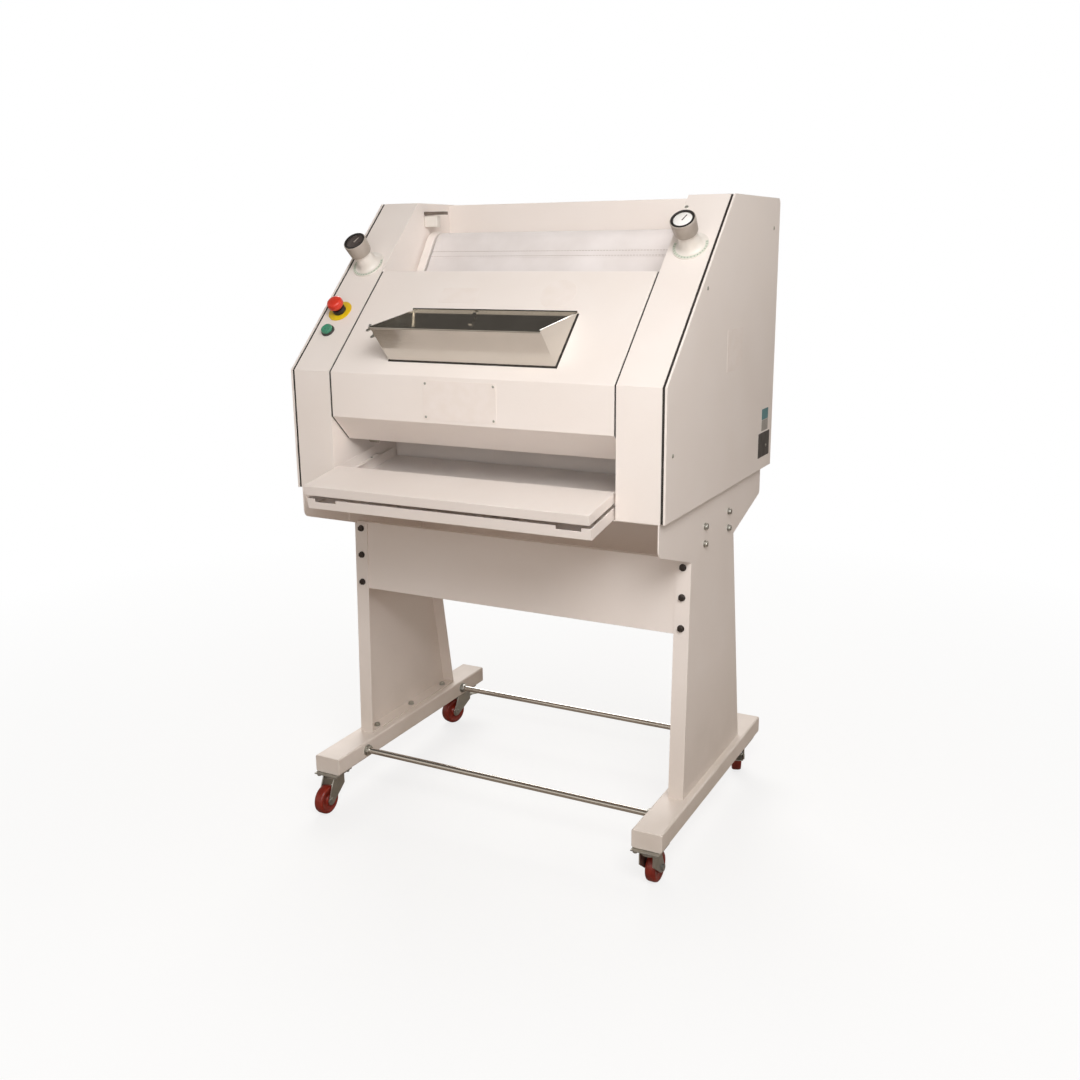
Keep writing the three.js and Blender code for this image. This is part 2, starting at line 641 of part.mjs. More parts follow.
function makeSidePanel() {
  const plate = alongX(silhouette(), panelInnerX, bodySideX);
  const recess = alongX(silhouette(panel.edge), panelInnerX - overrun, bodySideX - panel.sheet);
  return cut(plate, recess);
}

put('left_cabinet', mirrored(makeCabinet(false)), powderCoat);
put('right_cabinet', makeCabinet(true), powderCoat);
put('left_panel_seal', mirrored(makeSeal()), blackRubber);
put('right_panel_seal', makeSeal(), blackRubber);
put('left_side_panel', mirrored(makeSidePanel()), powderCoat);
put('right_side_panel', makeSidePanel(), powderCoat);

// Rear cover: one folded sheet, from the recess over the top and down the back
function makeRearCover() {
  const topZ = bodyTopZ - rearCover.drop;
  const backY = bodyBackY - rearCover.drop;
  const radius = body.topRadius;
  const lowZ = bodyBottomZ + rearCover.footGap;
  const wallZ = bodyTopZ - rearCover.wallDrop;
  const outer = roundedOutline([
    [rearCoverFrontY, wallZ], [rearCoverFrontY, topZ], [backY, topZ], [backY, lowZ],
  ], [0, 0, radius, 0]);
  const sheet = rearCover.sheet;
  const inner = roundedOutline([
    [backY - sheet, lowZ], [backY - sheet, topZ - sheet], [rearCoverFrontY + sheet, topZ - sheet],
    [rearCoverFrontY + sheet, wallZ],
  ], [0, radius - sheet, 0, 0]);
  const half = cabinetInnerX - clearance;
  return alongX([...outer, ...inner], -half, half);
}

put('rear_cover', makeRearCover(), powderCoat);

// Front cover: a bent sheet flush with the cabinets, hung on two pins near its top edge
function makeFrontCover() {
  const half = coverHalf;
  const path = [
    slopePoint(coverTopS), [bodyFrontY, bodyBendZ], [bodyFrontY, coverNoseZ],
    [fromFront(cover.noseRun), coverNoseZ - cover.noseDrop],
  ];
  const skin = alongX(bentSheet(path, cover.sheet), -half, half);
  const edges = [-1, 1].map((way) =>
    alongX(bentSheet(path, cover.edge), ...sideSpan(way, half, half - cover.sheet)));
  const pins = [-1, 1].map((way) => rodX(cover.hingeRadius,
    sideSpan(way, half - cover.sheet, wallEndX - clearance), ...hingePoint, roundSides / 2));
  const throat = block([-throatHalf, throatHalf], [hopper.throatStart, hopper.throatEnd],
    [-cover.edge, overrun]);
  throat.rotateX(slopeAngle).translate(0, bodyFrontY, bodyBendZ);
  return cut(join(skin, ...edges, ...pins), throat);
}

put('front_cover', makeFrontCover(), powderCoat);

// Infeed hopper: a stainless trough on the cover, open at the top and over the throat
function makeHopper() {
  const { sheet, startS, height, lean, backS, rim } = hopper;
  const halfWidth = hopperHalf;
  const frontFoot = [startS, 0];
  const frontRim = [startS + lean, height];
  const backRim = [backS, 0];
  const front = alongX(bentSheet([frontRim, frontFoot], sheet), -halfWidth, halfWidth);
  const back = alongX(bentSheet([frontFoot, backRim], sheet), -halfWidth, halfWidth);
  const slant = [[backS, rim], [startS + lean + rim, height]];
  const sides = [-1, 1].map((way) =>
    alongX([frontFoot, backRim, ...slant, frontRim], ...sideSpan(way, halfWidth, halfWidth - sheet)));
  const hems = [-1, 1].map((way) =>
    alongX(bentSheet(slant, rim), ...sideSpan(way, halfWidth, halfWidth - rim)));
  const frontHem = block([-halfWidth, halfWidth], [startS + lean, startS + lean + rim],
    [height - rim, height]);
  const backHem = block([-halfWidth, halfWidth], [backS - rim / 2, backS + rim / 2], [0, 2 * rim]);
  const guide = block([hopper.guideX - sheet, hopper.guideX + sheet], [hopper.guideStart, hopper.guideEnd],
    [0, hopper.guideHeight]);
  const throat = block([-throatHalf, throatHalf], [hopper.throatStart, hopper.throatEnd],
    [-overrun, overrun]);
  return cut(join(front, back, ...sides, ...hems, frontHem, backHem, guide), throat);
}

function makeWingScrew() {
  const length = wingScrew.standOff + wingScrew.hubLength;
  const shaft = rodX(wingScrew.shaft, [-length, -clearance], 0, 0, roundSides / 2);
  const hub = rodX(wingScrew.hub, [-length, -wingScrew.standOff], 0, 0, roundSides / 2);
  const half = wingScrew.wingThick / 2;
  const wings = [-1, 1].map((way) => {
    const tip = way * wingScrew.wingSpan;
    const outline = [
      [0, -length], [way * wingScrew.hub, -length - wingScrew.hub], [tip, -length - wingScrew.hub],
      [tip, -length], [0, -wingScrew.standOff - half],
    ].map(([u, v]) => [v, u]);
    return alongZ(outline, -half, half);
  });
  return join(shaft, hub, ...wings);
}

const hopperGroup = slopeGroup(0, 0);
put('infeed_hopper', makeHopper(), stainless, hopperGroup);
for (const [name, heightShare] of Object.entries(wingScrewHeightShares)) {
  const screw = put(`${name}_wing_screw`, makeWingScrew(), zinc, hopperGroup);
  screw.position.set(-hopperHalf, wingScrew.s, heightShare * hopper.height);
}

// Trays: a short loaf tray on two arms over a long crumb tray, both on runners that slope to the front
function trayGroup(y, z) {
  const group = new THREE.Group();
  group.position.set(0, y, z);
  group.rotation.x = tray.slopeDegrees * degree;
  machine.add(group);
  return group;
}

function makeOutfeedTray() {
  const half = trayHalf;
  const blank = block([-half, half], [0, tray.upperLength], [-tray.upperLip, 0]);
  const between = [tray.sheet - half, half - tray.sheet];
  const low = -tray.upperLip - overrun;
  const end = tray.upperLength + overrun;
  const under = block(between, [tray.sheet, tray.plateLength - tray.sheet], [low, -tray.sheet]);
  const belowLip = block(between, [tray.sheet, end], [low, -tray.backLip]);
  const behind = block(between, [tray.plateLength, end], [low, overrun]);
  return cut(blank, under, belowLip, behind);
}

function makeCrumbTray() {
  const half = trayHalf;
  const blank = block([-half, half], [0, tray.lowerLength], [-tray.lowerLip, 0]);
  const inside = block([tray.sheet - half, half - tray.sheet], [tray.sheet, tray.lowerLength - tray.sheet],
    [tray.sheet - tray.lowerLip, overrun]);
  const notchEnd = half - tray.notchIn;
  const notches = [-1, 1].map((way) => block(sideSpan(way, notchEnd, notchEnd - tray.notchLength),
    [-overrun, tray.sheet + overrun], [-tray.notchHeight, overrun]));
  return cut(blank, inside, ...notches);
}

put('outfeed_tray', makeOutfeedTray(), powderCoat, trayGroup(upperTrayY, upperTrayZ));
put('crumb_tray', makeCrumbTray(), powderCoat, trayGroup(lowerTrayY, lowerTrayZ));

// Felt belt, its two rollers and the side plates that carry them
const beltTop = { u: beltTopY, v: beltTopZ };
const beltLow = { u: beltLowY, v: beltLowZ };

function loopAt(radius, steps) {
  return loopRound({ ...beltTop, r: radius }, { ...beltLow, r: radius }, steps);
}

function makeBeltSide() {
  const innerX = cabinetInnerX - beltSide.thick;
  const plate = alongX(loopAt(beltSide.radius), innerX, cabinetInnerX);
  const bores = [beltTop, beltLow].map(({ u, v }) =>
    rodX(beltRoller.journal + clearance, [innerX - overrun, cabinetInnerX + overrun], u, v));
  return cut(plate, ...bores);
}

function makeRoller(radius, halfWidth, shaftEnds, [y, z]) {
  const drum = rodX(radius, [-halfWidth, halfWidth], y, z, fineSides);
  return join(drum, rodX(beltRoller.journal, shaftEnds, y, z));
}

const journalEnd = cabinetInnerX - clearance;
const feltInner = beltRoller.radius + clearance;
put('left_belt_side', mirrored(makeBeltSide()), powderCoat);
put('right_belt_side', makeBeltSide(), powderCoat);
put('felt_belt', alongX(loopAt(beltRoller.radius + belt.thick), -beltHalf, beltHalf,
  [loopAt(feltInner, 4 * arcSteps)]), felt);
put('belt_top_roller', makeRoller(beltRoller.radius, beltRollerHalf, [-journalEnd, journalEnd],
  [beltTopY, beltTopZ]), zinc);
put('belt_drive_roller', makeRoller(beltRoller.radius, beltRollerHalf, [-journalEnd, pulleyEndX],
  [beltLowY, beltLowZ]), zinc);

// Sheeting rollers; the front one runs in a carriage that slides to set the dough thickness
put('rear_sheeting_roller', makeRoller(sheeter.radius, sheeterHalf,
  [clearance - bearingEndX, bearingEndX - clearance], [sheeterRearY, sheeterRearZ]), stainless);
const carriageEndX = sheeterHalf + carriage.sideGap + carriage.cheek;
put('front_sheeting_roller', makeRoller(sheeter.radius, sheeterHalf, [-carriageEndX, carriageEndX],
  [sheeterFrontY, sheeterFrontZ]), stainless);

function makeCarriage() {
  const innerX = carriageEndX - carriage.cheek;
  const frontY = sheeterFrontY;
  const frontZ = sheeterFrontZ;
  const outline = roundedBox(frontY - carriage.frontReach, frontY + carriage.backReach,
    frontZ - carriage.halfHeight, frontZ + carriage.halfHeight, carriage.pinRise);
  const parts = [-1, 1].flatMap((way) => {
    const pinSpan = sideSpan(way, innerX + clearance, wallEndX - clearance);
    const pins = carriagePins.map((pin) => rodX(carriage.pinRadius, pinSpan, ...pin, roundSides / 2));
    return [alongX(outline, ...sideSpan(way, innerX, carriageEndX)), ...pins];
  });
  const bladeY = frontY - carriage.frontReach;
  const blade = block([-carriageEndX, carriageEndX], [bladeY, bladeY + scraper.blade],
    [frontZ - scraper.bar / 2, frontZ + scraper.bar / 2]);
  const reach = carriageEndX + overrun;
  const bore = rodX(beltRoller.journal + clearance, [-reach, reach], frontY, frontZ);
  return cut(join(...parts, blade), bore);
}

put('roller_carriage', makeCarriage(), zinc);

function makeRearScraper() {
  const tipY = sheeterRearY + sheeter.radius + clearance;
  const z = sheeterRearZ;
  const outline = [
    [tipY, z], [tipY + scraper.blade, z],
    [tipY + scraper.blade + scraper.lean, z + scraper.rise - scraper.skin],
    [tipY + scraper.lean + scraper.bar, z + scraper.rise - scraper.skin],
    [tipY + scraper.lean + scraper.bar, z + scraper.rise], [tipY + scraper.lean, z + scraper.rise],
  ];
  return alongX(outline, -cabinetInnerX, cabinetInnerX);
}

put('rear_scraper', makeRearScraper(), zinc);

// Pressure board: a curved plate round the front of the lower belt roller
function makeBoard() {
  const startAngle = board.startDegrees * degree;
  const endAngle = board.endDegrees * degree;
  const curve = arc(beltLowY, beltLowZ, boardRadius, startAngle, endAngle, 2 * arcSteps);
  const path = [[beltLowY - board.leadRun, beltLowZ + board.leadRise], ...curve];
  const half = beltRollerHalf;
  const plate = alongX(bentSheet(path, -board.sheet), -half, half);
  const cheekOutline = [
    ...arc(beltLowY, beltLowZ, boardRadius, startAngle, endAngle, 2 * arcSteps),
    ...arc(beltLowY, beltLowZ, boardRadius + board.cheekDepth, endAngle, startAngle, 2 * arcSteps),
  ];
  const cheekEnd = half + board.cheek;
  const cheeks = [-1, 1].flatMap((way) => {
    const pinSpan = sideSpan(way, half, wallEndX - clearance);
    const pins = boardPins.map((pin) => rodX(board.pinRadius, pinSpan, ...pin, roundSides / 2));
    return [alongX(cheekOutline, ...sideSpan(way, half - board.sheet, cheekEnd)), ...pins];
  });
  return join(plate, ...cheeks);
}

put('pressure_board', makeBoard(), stainless);

// Drive: a foot-mounted motor behind the belt and a V-belt in the right cabinet
function makeMotor() {
  const { radius, flange, footThick } = motor;
  const endX = motorEndX;
  const startX = endX - motor.length;
  const pitch = (endX - startX) / (2 * motor.fins + 1);
  const profile = [[0, startX]];
  for (let i = 0; i <= 2 * motor.fins; i += 1) {
    const r = i % 2 ? radius - motor.finDepth : radius;
    profile.push([r, startX + i * pitch], [r, startX + (i + 1) * pitch]);
  }
  profile.push([flange, endX], [flange, endX + footThick], [0, endX + footThick]);
  const housing = turnedX(profile, 4 * arcSteps).translate(0, motorY, motorZ);
  const footBottom = bodyBottomZ;
  const plate = block([startX + pitch, endX - pitch], [motorY - radius, motorY + radius],
    [footBottom, footBottom + footThick]);
  const stool = block([startX + 2 * pitch, endX - 2 * pitch], [motorY - radius / 2, motorY + radius / 2],
    [footBottom + footThick / 2, motorZ - radius / 2]);
  const terminals = block([startX + 2 * pitch, endX - 2 * pitch], [motorY - radius / 2, motorY + radius / 2],
    [motorZ + radius / 2, motorZ + radius + 2 * footThick]);
  const bore = rodX(motorShaft.radius + clearance, [endX, endX + footThick + overrun], motorY, motorZ);
  return cut(join(housing, plate, stool, terminals), bore);
}

function pulleyProfile(radius, from) {
  const groove = radius - pulley.belt;
  const cheek = pulley.web;
  return [
    [0, from], [radius, from], [radius, from + cheek], [groove, from + cheek],
    [groove, from + pulley.width - cheek], [radius, from + pulley.width - cheek],
    [radius, from + pulley.width], [0, from + pulley.width],
  ];
}

function makeDrivePulley() {
  const disc = turnedX(pulleyProfile(pulley.driveRadius, pulleyStartX), fineSides);
  const bore = rodX(beltRoller.journal + clearance, [pulleyStartX - overrun, pulleyEndX + overrun], 0, 0);
  return cut(disc, bore).translate(0, beltLowY, beltLowZ);
}

function makeMotorPulley() {
  const disc = turnedX(pulleyProfile(pulley.motorRadius, pulleyStartX)).translate(0, motorY, motorZ);
  const shaft = rodX(motorShaft.radius, [motorEndX + clearance, pulleyEndX], motorY, motorZ);
  return join(disc, shaft);
}

function makeDriveBelt() {
  const around = (extra) => loopRound(
    { u: beltLowY, v: beltLowZ, r: pulley.driveRadius - pulley.belt + extra },
    { u: motorY, v: motorZ, r: pulley.motorRadius - pulley.belt + extra }, fineSides - arcSteps);
  const from = pulleyStartX + pulley.web + clearance;
  return alongX(around(pulley.belt), from, pulleyEndX - pulley.web - clearance, [around(clearance)]);
}

put('drive_motor', makeMotor(), motorPaint);
put('motor_pulley', makeMotorPulley(), zinc);
put('drive_pulley', makeDrivePulley(), zinc);
put('drive_belt', makeDriveBelt(), blackRubber);

// Adjusting knobs with a turned body, on collars that stand on the sloping strips
function makeKnobCollar() {
  const { flangeRadius, flangeThick, stemRadius, stemDraft, shaft } = knobCollar;
  const top = knob.topH - knob.height - clearance;
  return turnedZ([
    [shaft + clearance, 0], [flangeRadius, 0], [flangeRadius, flangeThick],
    [stemRadius, flangeThick + stemDraft], [stemRadius - stemDraft, top], [shaft + clearance, top],
    [shaft + clearance, 0],
  ]);
}

function makeKnob() {
  const { radius, taper, topH, height, dialDepth, dialRadius, dialDraft } = knob;
  const low = topH - height;
  return turnedZ([
    [0, -knobCollar.shaftDepth], [knobCollar.shaft, -knobCollar.shaftDepth], [knobCollar.shaft, low],
    [radius - 2 * taper, low], [radius - taper, low + taper], [radius, topH - taper], [radius - taper, topH],
    [dialRadius, topH], [dialRadius - dialDraft, topH - dialDepth], [0, topH - dialDepth],
  ]);
}

for (const [side, x, s] of [['left', -stripCentreX, knob.leftS], ['right', stripCentreX, knob.rightS]]) {
  const group = slopeGroup(x, s);
  put(`${side}_knob_collar`, makeKnobCollar(), collarPlastic, group);
  put(`${side}_knob`, makeKnob(), knobPlastic, group);
}

// Emergency stop and start button on the left strip
function makeStopCollar() {
  const { discRadius, discThick, collarRadius, collarHeight, stem, barrel, barrelDepth } = stopButton;
  const bore = stem + clearance;
  return turnedZ([
    [bore, -barrelDepth], [barrel, -barrelDepth], [barrel, 0], [discRadius, 0], [discRadius, discThick],
    [collarRadius, discThick], [collarRadius, collarHeight], [bore, collarHeight], [bore, -barrelDepth],
  ]);
}

function makeStopHead() {
  const { headRadius, headH, topH, stem, travel } = stopButton;
  const edge = (topH - headH) / 3;
  return turnedZ([
    [0, -travel], [stem, -travel], [stem, headH], [headRadius - edge / 2, headH], [headRadius, headH + edge],
    [headRadius - edge / 4, topH - edge], [headRadius / 2 + edge, topH - edge / 4], [0, topH],
  ]);
}

function makeStartBezel() {
  const { bezelRadius, bezelHeight, capRadius, stem, barrel, barrelDepth, well, draft } = startButton;
  const blank = turnedZ([
    [0, -barrelDepth], [barrel, -barrelDepth], [barrel, 0], [bezelRadius, 0],
    [bezelRadius - draft, bezelHeight], [0, bezelHeight],
  ]);
  const capWell = rodZ(capRadius + clearance, bezelHeight - well, bezelHeight + overrun);
  const bore = rodZ(stem + clearance, -barrelDepth - overrun, bezelHeight);
  return cut(blank, capWell, bore);
}

function makeStartButton() {
  const { capRadius, capTop, bezelHeight, well, stem, travel, draft } = startButton;
  const low = bezelHeight - well + travel + clearance;
  return turnedZ([
    [0, -2 * travel], [stem, -2 * travel], [stem, low], [capRadius, low], [capRadius, capTop - draft],
    [capRadius - 2 * draft, capTop], [0, capTop],
  ]);
}

const stopGroup = slopeGroup(-stopButtonX, stopButton.s);
put('estop_collar', makeStopCollar(), yellowPlastic, stopGroup);
put('estop_head', makeStopHead(), redPlastic, stopGroup);
const startGroup = slopeGroup(-startButtonX, startButton.s);
put('start_bezel', makeStartBezel(), zinc, startGroup);
put('start_button', makeStartButton(), greenPlastic, startGroup);

// Safety switch in the recess, on the left wall
function makeSafetySwitch() {
  const { length, depth, height, barLength, barHeight, barOver } = switchBox;
  const y = fromFront(switchBox.fromFront);
  const topZ = bodyTopZ - switchBox.drop;
  const wallX = -cabinetInnerX;
  const box = block([wallX, wallX + length], [y - depth / 2, y + depth / 2],
    [topZ - barHeight - height, topZ - barHeight / 2]);
  const bar = block([wallX, wallX + barLength], [y - depth / 2 - barOver, y + depth / 2 + barOver],
    [topZ - barHeight, topZ]);
  return join(box, bar);
}

put('safety_switch', makeSafetySwitch(), blackPlastic);

export default machine;
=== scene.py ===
import json
import math

import bpy
from mathutils import Matrix, Vector


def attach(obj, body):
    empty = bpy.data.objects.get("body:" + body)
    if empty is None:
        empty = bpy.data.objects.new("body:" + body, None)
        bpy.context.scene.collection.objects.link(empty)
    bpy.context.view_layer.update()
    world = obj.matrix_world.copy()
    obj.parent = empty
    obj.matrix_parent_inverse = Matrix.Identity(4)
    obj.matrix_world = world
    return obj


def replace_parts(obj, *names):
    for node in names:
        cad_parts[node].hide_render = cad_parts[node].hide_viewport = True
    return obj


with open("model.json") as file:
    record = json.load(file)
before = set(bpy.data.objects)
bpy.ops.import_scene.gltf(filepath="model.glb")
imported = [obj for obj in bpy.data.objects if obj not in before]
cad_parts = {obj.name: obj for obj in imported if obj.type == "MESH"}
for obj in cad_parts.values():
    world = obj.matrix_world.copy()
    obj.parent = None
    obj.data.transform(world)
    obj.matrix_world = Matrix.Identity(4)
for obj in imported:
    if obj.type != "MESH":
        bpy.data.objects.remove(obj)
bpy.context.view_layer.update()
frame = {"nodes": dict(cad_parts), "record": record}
cadNodes = frame["nodes"]
bodyOf = {node: body for body, members in frame["record"]["behaviour"]["bodies"].items() for node in members}
slotOf = {entry["node"]: entry["material_slot"] for entry in frame["record"]["subparts"]}
mm = 0.001

# Where the body's sloping face bends up from the upright front, in millimetres
slope = {"frontY": -325, "bendZ": 1160, "run": 410, "rise": 393}
slopeAngle = math.atan2(slope["rise"], slope["run"])
slopeTurn = Matrix.Rotation(slopeAngle, 4, "X")
frontTurn = Matrix.Rotation(math.radians(90), 4, "X")   # a piece made lying on the floor then faces the front
rightTurn = Matrix.Rotation(math.radians(90), 4, "Y")   # and here the machine's right side
leftTurn = Matrix.Rotation(math.radians(-90), 4, "Y")
backTurn = Matrix.Rotation(math.radians(-90), 4, "X")


def slopePoint(x, up, height=0):   # across, up the slope from the bend and off its face, to metres
    y = slope["frontY"] + up * math.cos(slopeAngle) - height * math.sin(slopeAngle)
    z = slope["bendZ"] + up * math.sin(slopeAngle) + height * math.cos(slopeAngle)
    return Vector((x, y, z)) * mm


# Camera and light
view = {"place": (1.3180, -2.5124, 1.4421), "yaw": 27.3246, "pitch": -14.4151, "roll": -0.5934,
        "lens": 38.103, "sensor": 36, "farthest": 100}

lens = bpy.data.cameras.new("photoLens")
lens.lens = view["lens"]
lens.sensor_width = view["sensor"]
lens.clip_end = view["farthest"]
photoCamera = bpy.data.objects.new("photoCamera", lens)
bpy.context.scene.collection.objects.link(photoCamera)
photoCamera.matrix_world = (
    Matrix.Translation(view["place"])
    @ Matrix.Rotation(math.radians(view["yaw"]), 4, "Z")
    @ Matrix.Rotation(math.radians(90 + view["pitch"]), 4, "X")
    @ Matrix.Rotation(math.radians(view["roll"]), 4, "Z"))
bpy.context.scene.camera = photoCamera
bpy.context.scene.view_settings.view_transform = "Standard"

softboxes = {   # name: place, aim, width, height, watts
    "keyBox": ((1.5, -2.0, 2.5), (0.1, -0.2, 1.3), 1.3, 1.1, 51),
    "frontBox": ((0.7, -3.1, 1.6), (0, -0.2, 0.9), 1.6, 1.2, 16),
    "sideBox": ((3.4, -0.4, 1.8), (0.4, 0, 0.9), 1.4, 1.2, 8),
    "rearBox": ((-1.6, 2.6, 2.9), (0, 0.2, 0.9), 2.2, 1.8, 75),
}
for name, (stand, aim, width, height, watts) in softboxes.items():
    lamp = bpy.data.lights.new(name, "AREA")
    lamp.shape = "RECTANGLE"
    lamp.size = width
    lamp.size_y = height
    lamp.energy = watts
    box = bpy.data.objects.new(name, lamp)
    box.location = stand
    box.rotation_euler = (Vector(aim) - Vector(stand)).to_track_quat("-Z", "Y").to_euler()
    bpy.context.scene.collection.objects.link(box)
print("camera and lights placed")


# Materials
def linear(hexColour):   # by the sRGB curve
    channels = [int(hexColour[i:i + 2], 16) / 255 for i in (1, 3, 5)]
    return [c / 12.92 if c <= 0.04045 else ((c + 0.055) / 1.055) ** 2.4 for c in channels] + [1]


def addNode(tree, kind, values={}, links={}):
    node = tree.nodes.new(kind)
    for key, value in values.items():
        if isinstance(key, int) or key in node.inputs:
            node.inputs[key].default_value = value
        else:
            setattr(node, key, value)
    for key, source in links.items():
        tree.links.new(source, node.inputs[key])
    return node


def startMaterial(name, look):
    material = bpy.data.materials.new(name)
    material.use_nodes = True
    tree = material.node_tree
    shader = tree.nodes["Principled BSDF"]
    shader.inputs["Base Color"].default_value = linear(look["colour"])
    shader.inputs["Roughness"].default_value = look["roughness"]
    shader.inputs["Metallic"].default_value = look.get("metallic", 0)
    if "ior" in look:
        shader.inputs["IOR"].default_value = look["ior"]
    place = addNode(tree, "ShaderNodeTexCoord").outputs["Object"]
    return material, tree, shader, place


def grain(tree, place, size, detail=2, stretch=(1, 1, 1)):   # size in metres of one lump
    turned = addNode(tree, "ShaderNodeMapping", {"Scale": stretch}, {"Vector": place})
    return addNode(tree, "ShaderNodeTexNoise", {"Scale": 1 / size, "Detail": detail},
                   {"Vector": turned.outputs["Vector"]}).outputs["Fac"]


def spread(tree, value, low, high, fromLow=0.3, fromHigh=0.7):
    ranges = {"From Min": fromLow, "From Max": fromHigh, "To Min": low, "To Max": high}
    return addNode(tree, "ShaderNodeMapRange", ranges, {"Value": value}).outputs["Result"]


def combine(tree, operation, first, second):
    return addNode(tree, "ShaderNodeMath", {"operation": operation}, {0: first, 1: second}).outputs["Value"]


def mixColours(tree, share, first, second):
    mix = addNode(tree, "ShaderNodeMix", {"data_type": "RGBA"})
    for index, colour in ((6, first), (7, second)):
        if isinstance(colour, str):
            mix.inputs[index].default_value = linear(colour)
        else:
            tree.links.new(colour, mix.inputs[index])
    tree.links.new(share, mix.inputs[0])
    return mix.outputs[2]


def relief(tree, shader, height, look):
    bump = addNode(tree, "ShaderNodeBump", {"Strength": look["relief"], "Distance": look["depth"]},
                   {"Height": height})
    tree.links.new(bump.outputs["Normal"], shader.inputs["Normal"])


def varyGloss(tree, shader, value, look, fromLow=0.3, fromHigh=0.7):
    low, high = [look["roughness"] + shift for shift in look["vary"]]
    tree.links.new(spread(tree, value, low, high, fromLow, fromHigh), shader.inputs["Roughness"])


# Semi-gloss polyester powder coat, baked on sheet steel: a soft orange peel breaks up its reflections,
# and low down it is a little darker: partly flour dust, partly painted shade for the lesser light near the floor
powderLook = {"colour": "#F2E8E1", "dustAndShade": "#C8BAAB", "handled": "#F4EBE5", "roughness": 0.4, "vary": (-0.04, 0.06),
              "ior": 1.5, "peel": 0.005, "depth": 0.00025, "relief": 0.6, "cloud": 0.16,
              "dustAndShadeFull": 0.1, "dustAndShadeEnd": 0.45}


def makePowderCoat():
    look = powderLook
    material, tree, shader, place = startMaterial("powderCoatBaked", look)
    cloud = grain(tree, place, look["cloud"], 4)
    height = addNode(tree, "ShaderNodeSeparateXYZ", {}, {"Vector": place}).outputs["Z"]
    # painted shade and dust: the coat darkens towards the floor, where less light reaches the feet
    low = spread(tree, height, 1, 0, look["dustAndShadeFull"], look["dustAndShadeEnd"])
    patchyDustAndShade = combine(tree, "MULTIPLY", low, cloud)
    paint = mixColours(tree, spread(tree, cloud, 0, 1), look["colour"], look["handled"])
    tree.links.new(mixColours(tree, patchyDustAndShade, paint, look["dustAndShade"]), shader.inputs["Base Color"])
    varyGloss(tree, shader, cloud, look)
    relief(tree, shader, grain(tree, place, look["peel"], 1), look)   # real peel is 1 to 2 mm, drawn coarse
    return material


# Stainless sheet, cold rolled and polished: clear but slightly streaked reflections along the rolling direction
stainlessLook = {"colour": "#CFCBC4", "roughness": 0.16, "vary": (-0.04, 0.1), "metallic": 1, "streak": 0.0016,
                 "stretch": (0.02, 1, 1), "mark": 0.05, "sumRange": (0.7, 1.3), "depth": 0.00004, "relief": 0.35}


def makeStainless():
    look = stainlessLook
    material, tree, shader, place = startMaterial("stainlessPolished", look)
    streaks = grain(tree, place, look["streak"], 3, look["stretch"])
    marks = grain(tree, place, look["mark"], 3)
    varyGloss(tree, shader, combine(tree, "ADD", streaks, marks), look, *look["sumRange"])
    relief(tree, shader, streaks, look)
    return material


# Bright drawn or turned steel: fine rings round each bar
brightLook = {"colour": "#C8C5BE", "roughness": 0.24, "vary": (-0.06, 0.1), "metallic": 1, "ring": 0.0012,
              "stretch": (1, 0.05, 0.05), "depth": 0.00003, "relief": 0.3}


def makeBrightSteel():
    look = brightLook
    material, tree, shader, place = startMaterial("steelBrightTurned", look)
    rings = grain(tree, place, look["ring"], 2, look["stretch"])
    varyGloss(tree, shader, rings, look)
    relief(tree, shader, rings, look)
    return material


# Zinc plating on pressed steel: satin, with a faint yellow and blue cast from the passivation
zincLook = {"colour": "#B9B6AE", "cast": "#A6A493", "cool": "#A3A9AF", "roughness": 0.36, "vary": (-0.08, 0.14),
            "metallic": 1, "blush": 0.022, "mostCast": 0.7, "cooler": 0.045, "mostCool": 0.5, "texture": 0.0015,
            "depth": 0.00005, "relief": 0.4}


def makeZinc():
    look = zincLook
    material, tree, shader, place = startMaterial("steelZincPlated", look)
    blush = grain(tree, place, look["blush"], 3)
    cooler = grain(tree, place, look["cooler"], 2)
    warm = mixColours(tree, spread(tree, blush, 0, look["mostCast"]), look["colour"], look["cast"])
    colour = mixColours(tree, spread(tree, cooler, 0, look["mostCool"]), warm, look["cool"])
    tree.links.new(colour, shader.inputs["Base Color"])
    varyGloss(tree, shader, blush, look)
    relief(tree, shader, grain(tree, place, look["texture"], 2), look)
    return material


# Moulded plastics and cast polyurethane: even colour, slight cloud in the gloss, fine mould texture
def makeMoulded(name, ownLook):
    look = {**mouldedUsual, **ownLook}
    material, tree, shader, place = startMaterial(name, look)
    cloud = grain(tree, place, look["cloud"], 3)
    colour = mixColours(tree, spread(tree, cloud, 0, 1), look["colour"], look["shade"])
    tree.links.new(colour, shader.inputs["Base Color"])
    varyGloss(tree, shader, cloud, look)
    relief(tree, shader, grain(tree, place, look["texture"], 2), look)
    return material


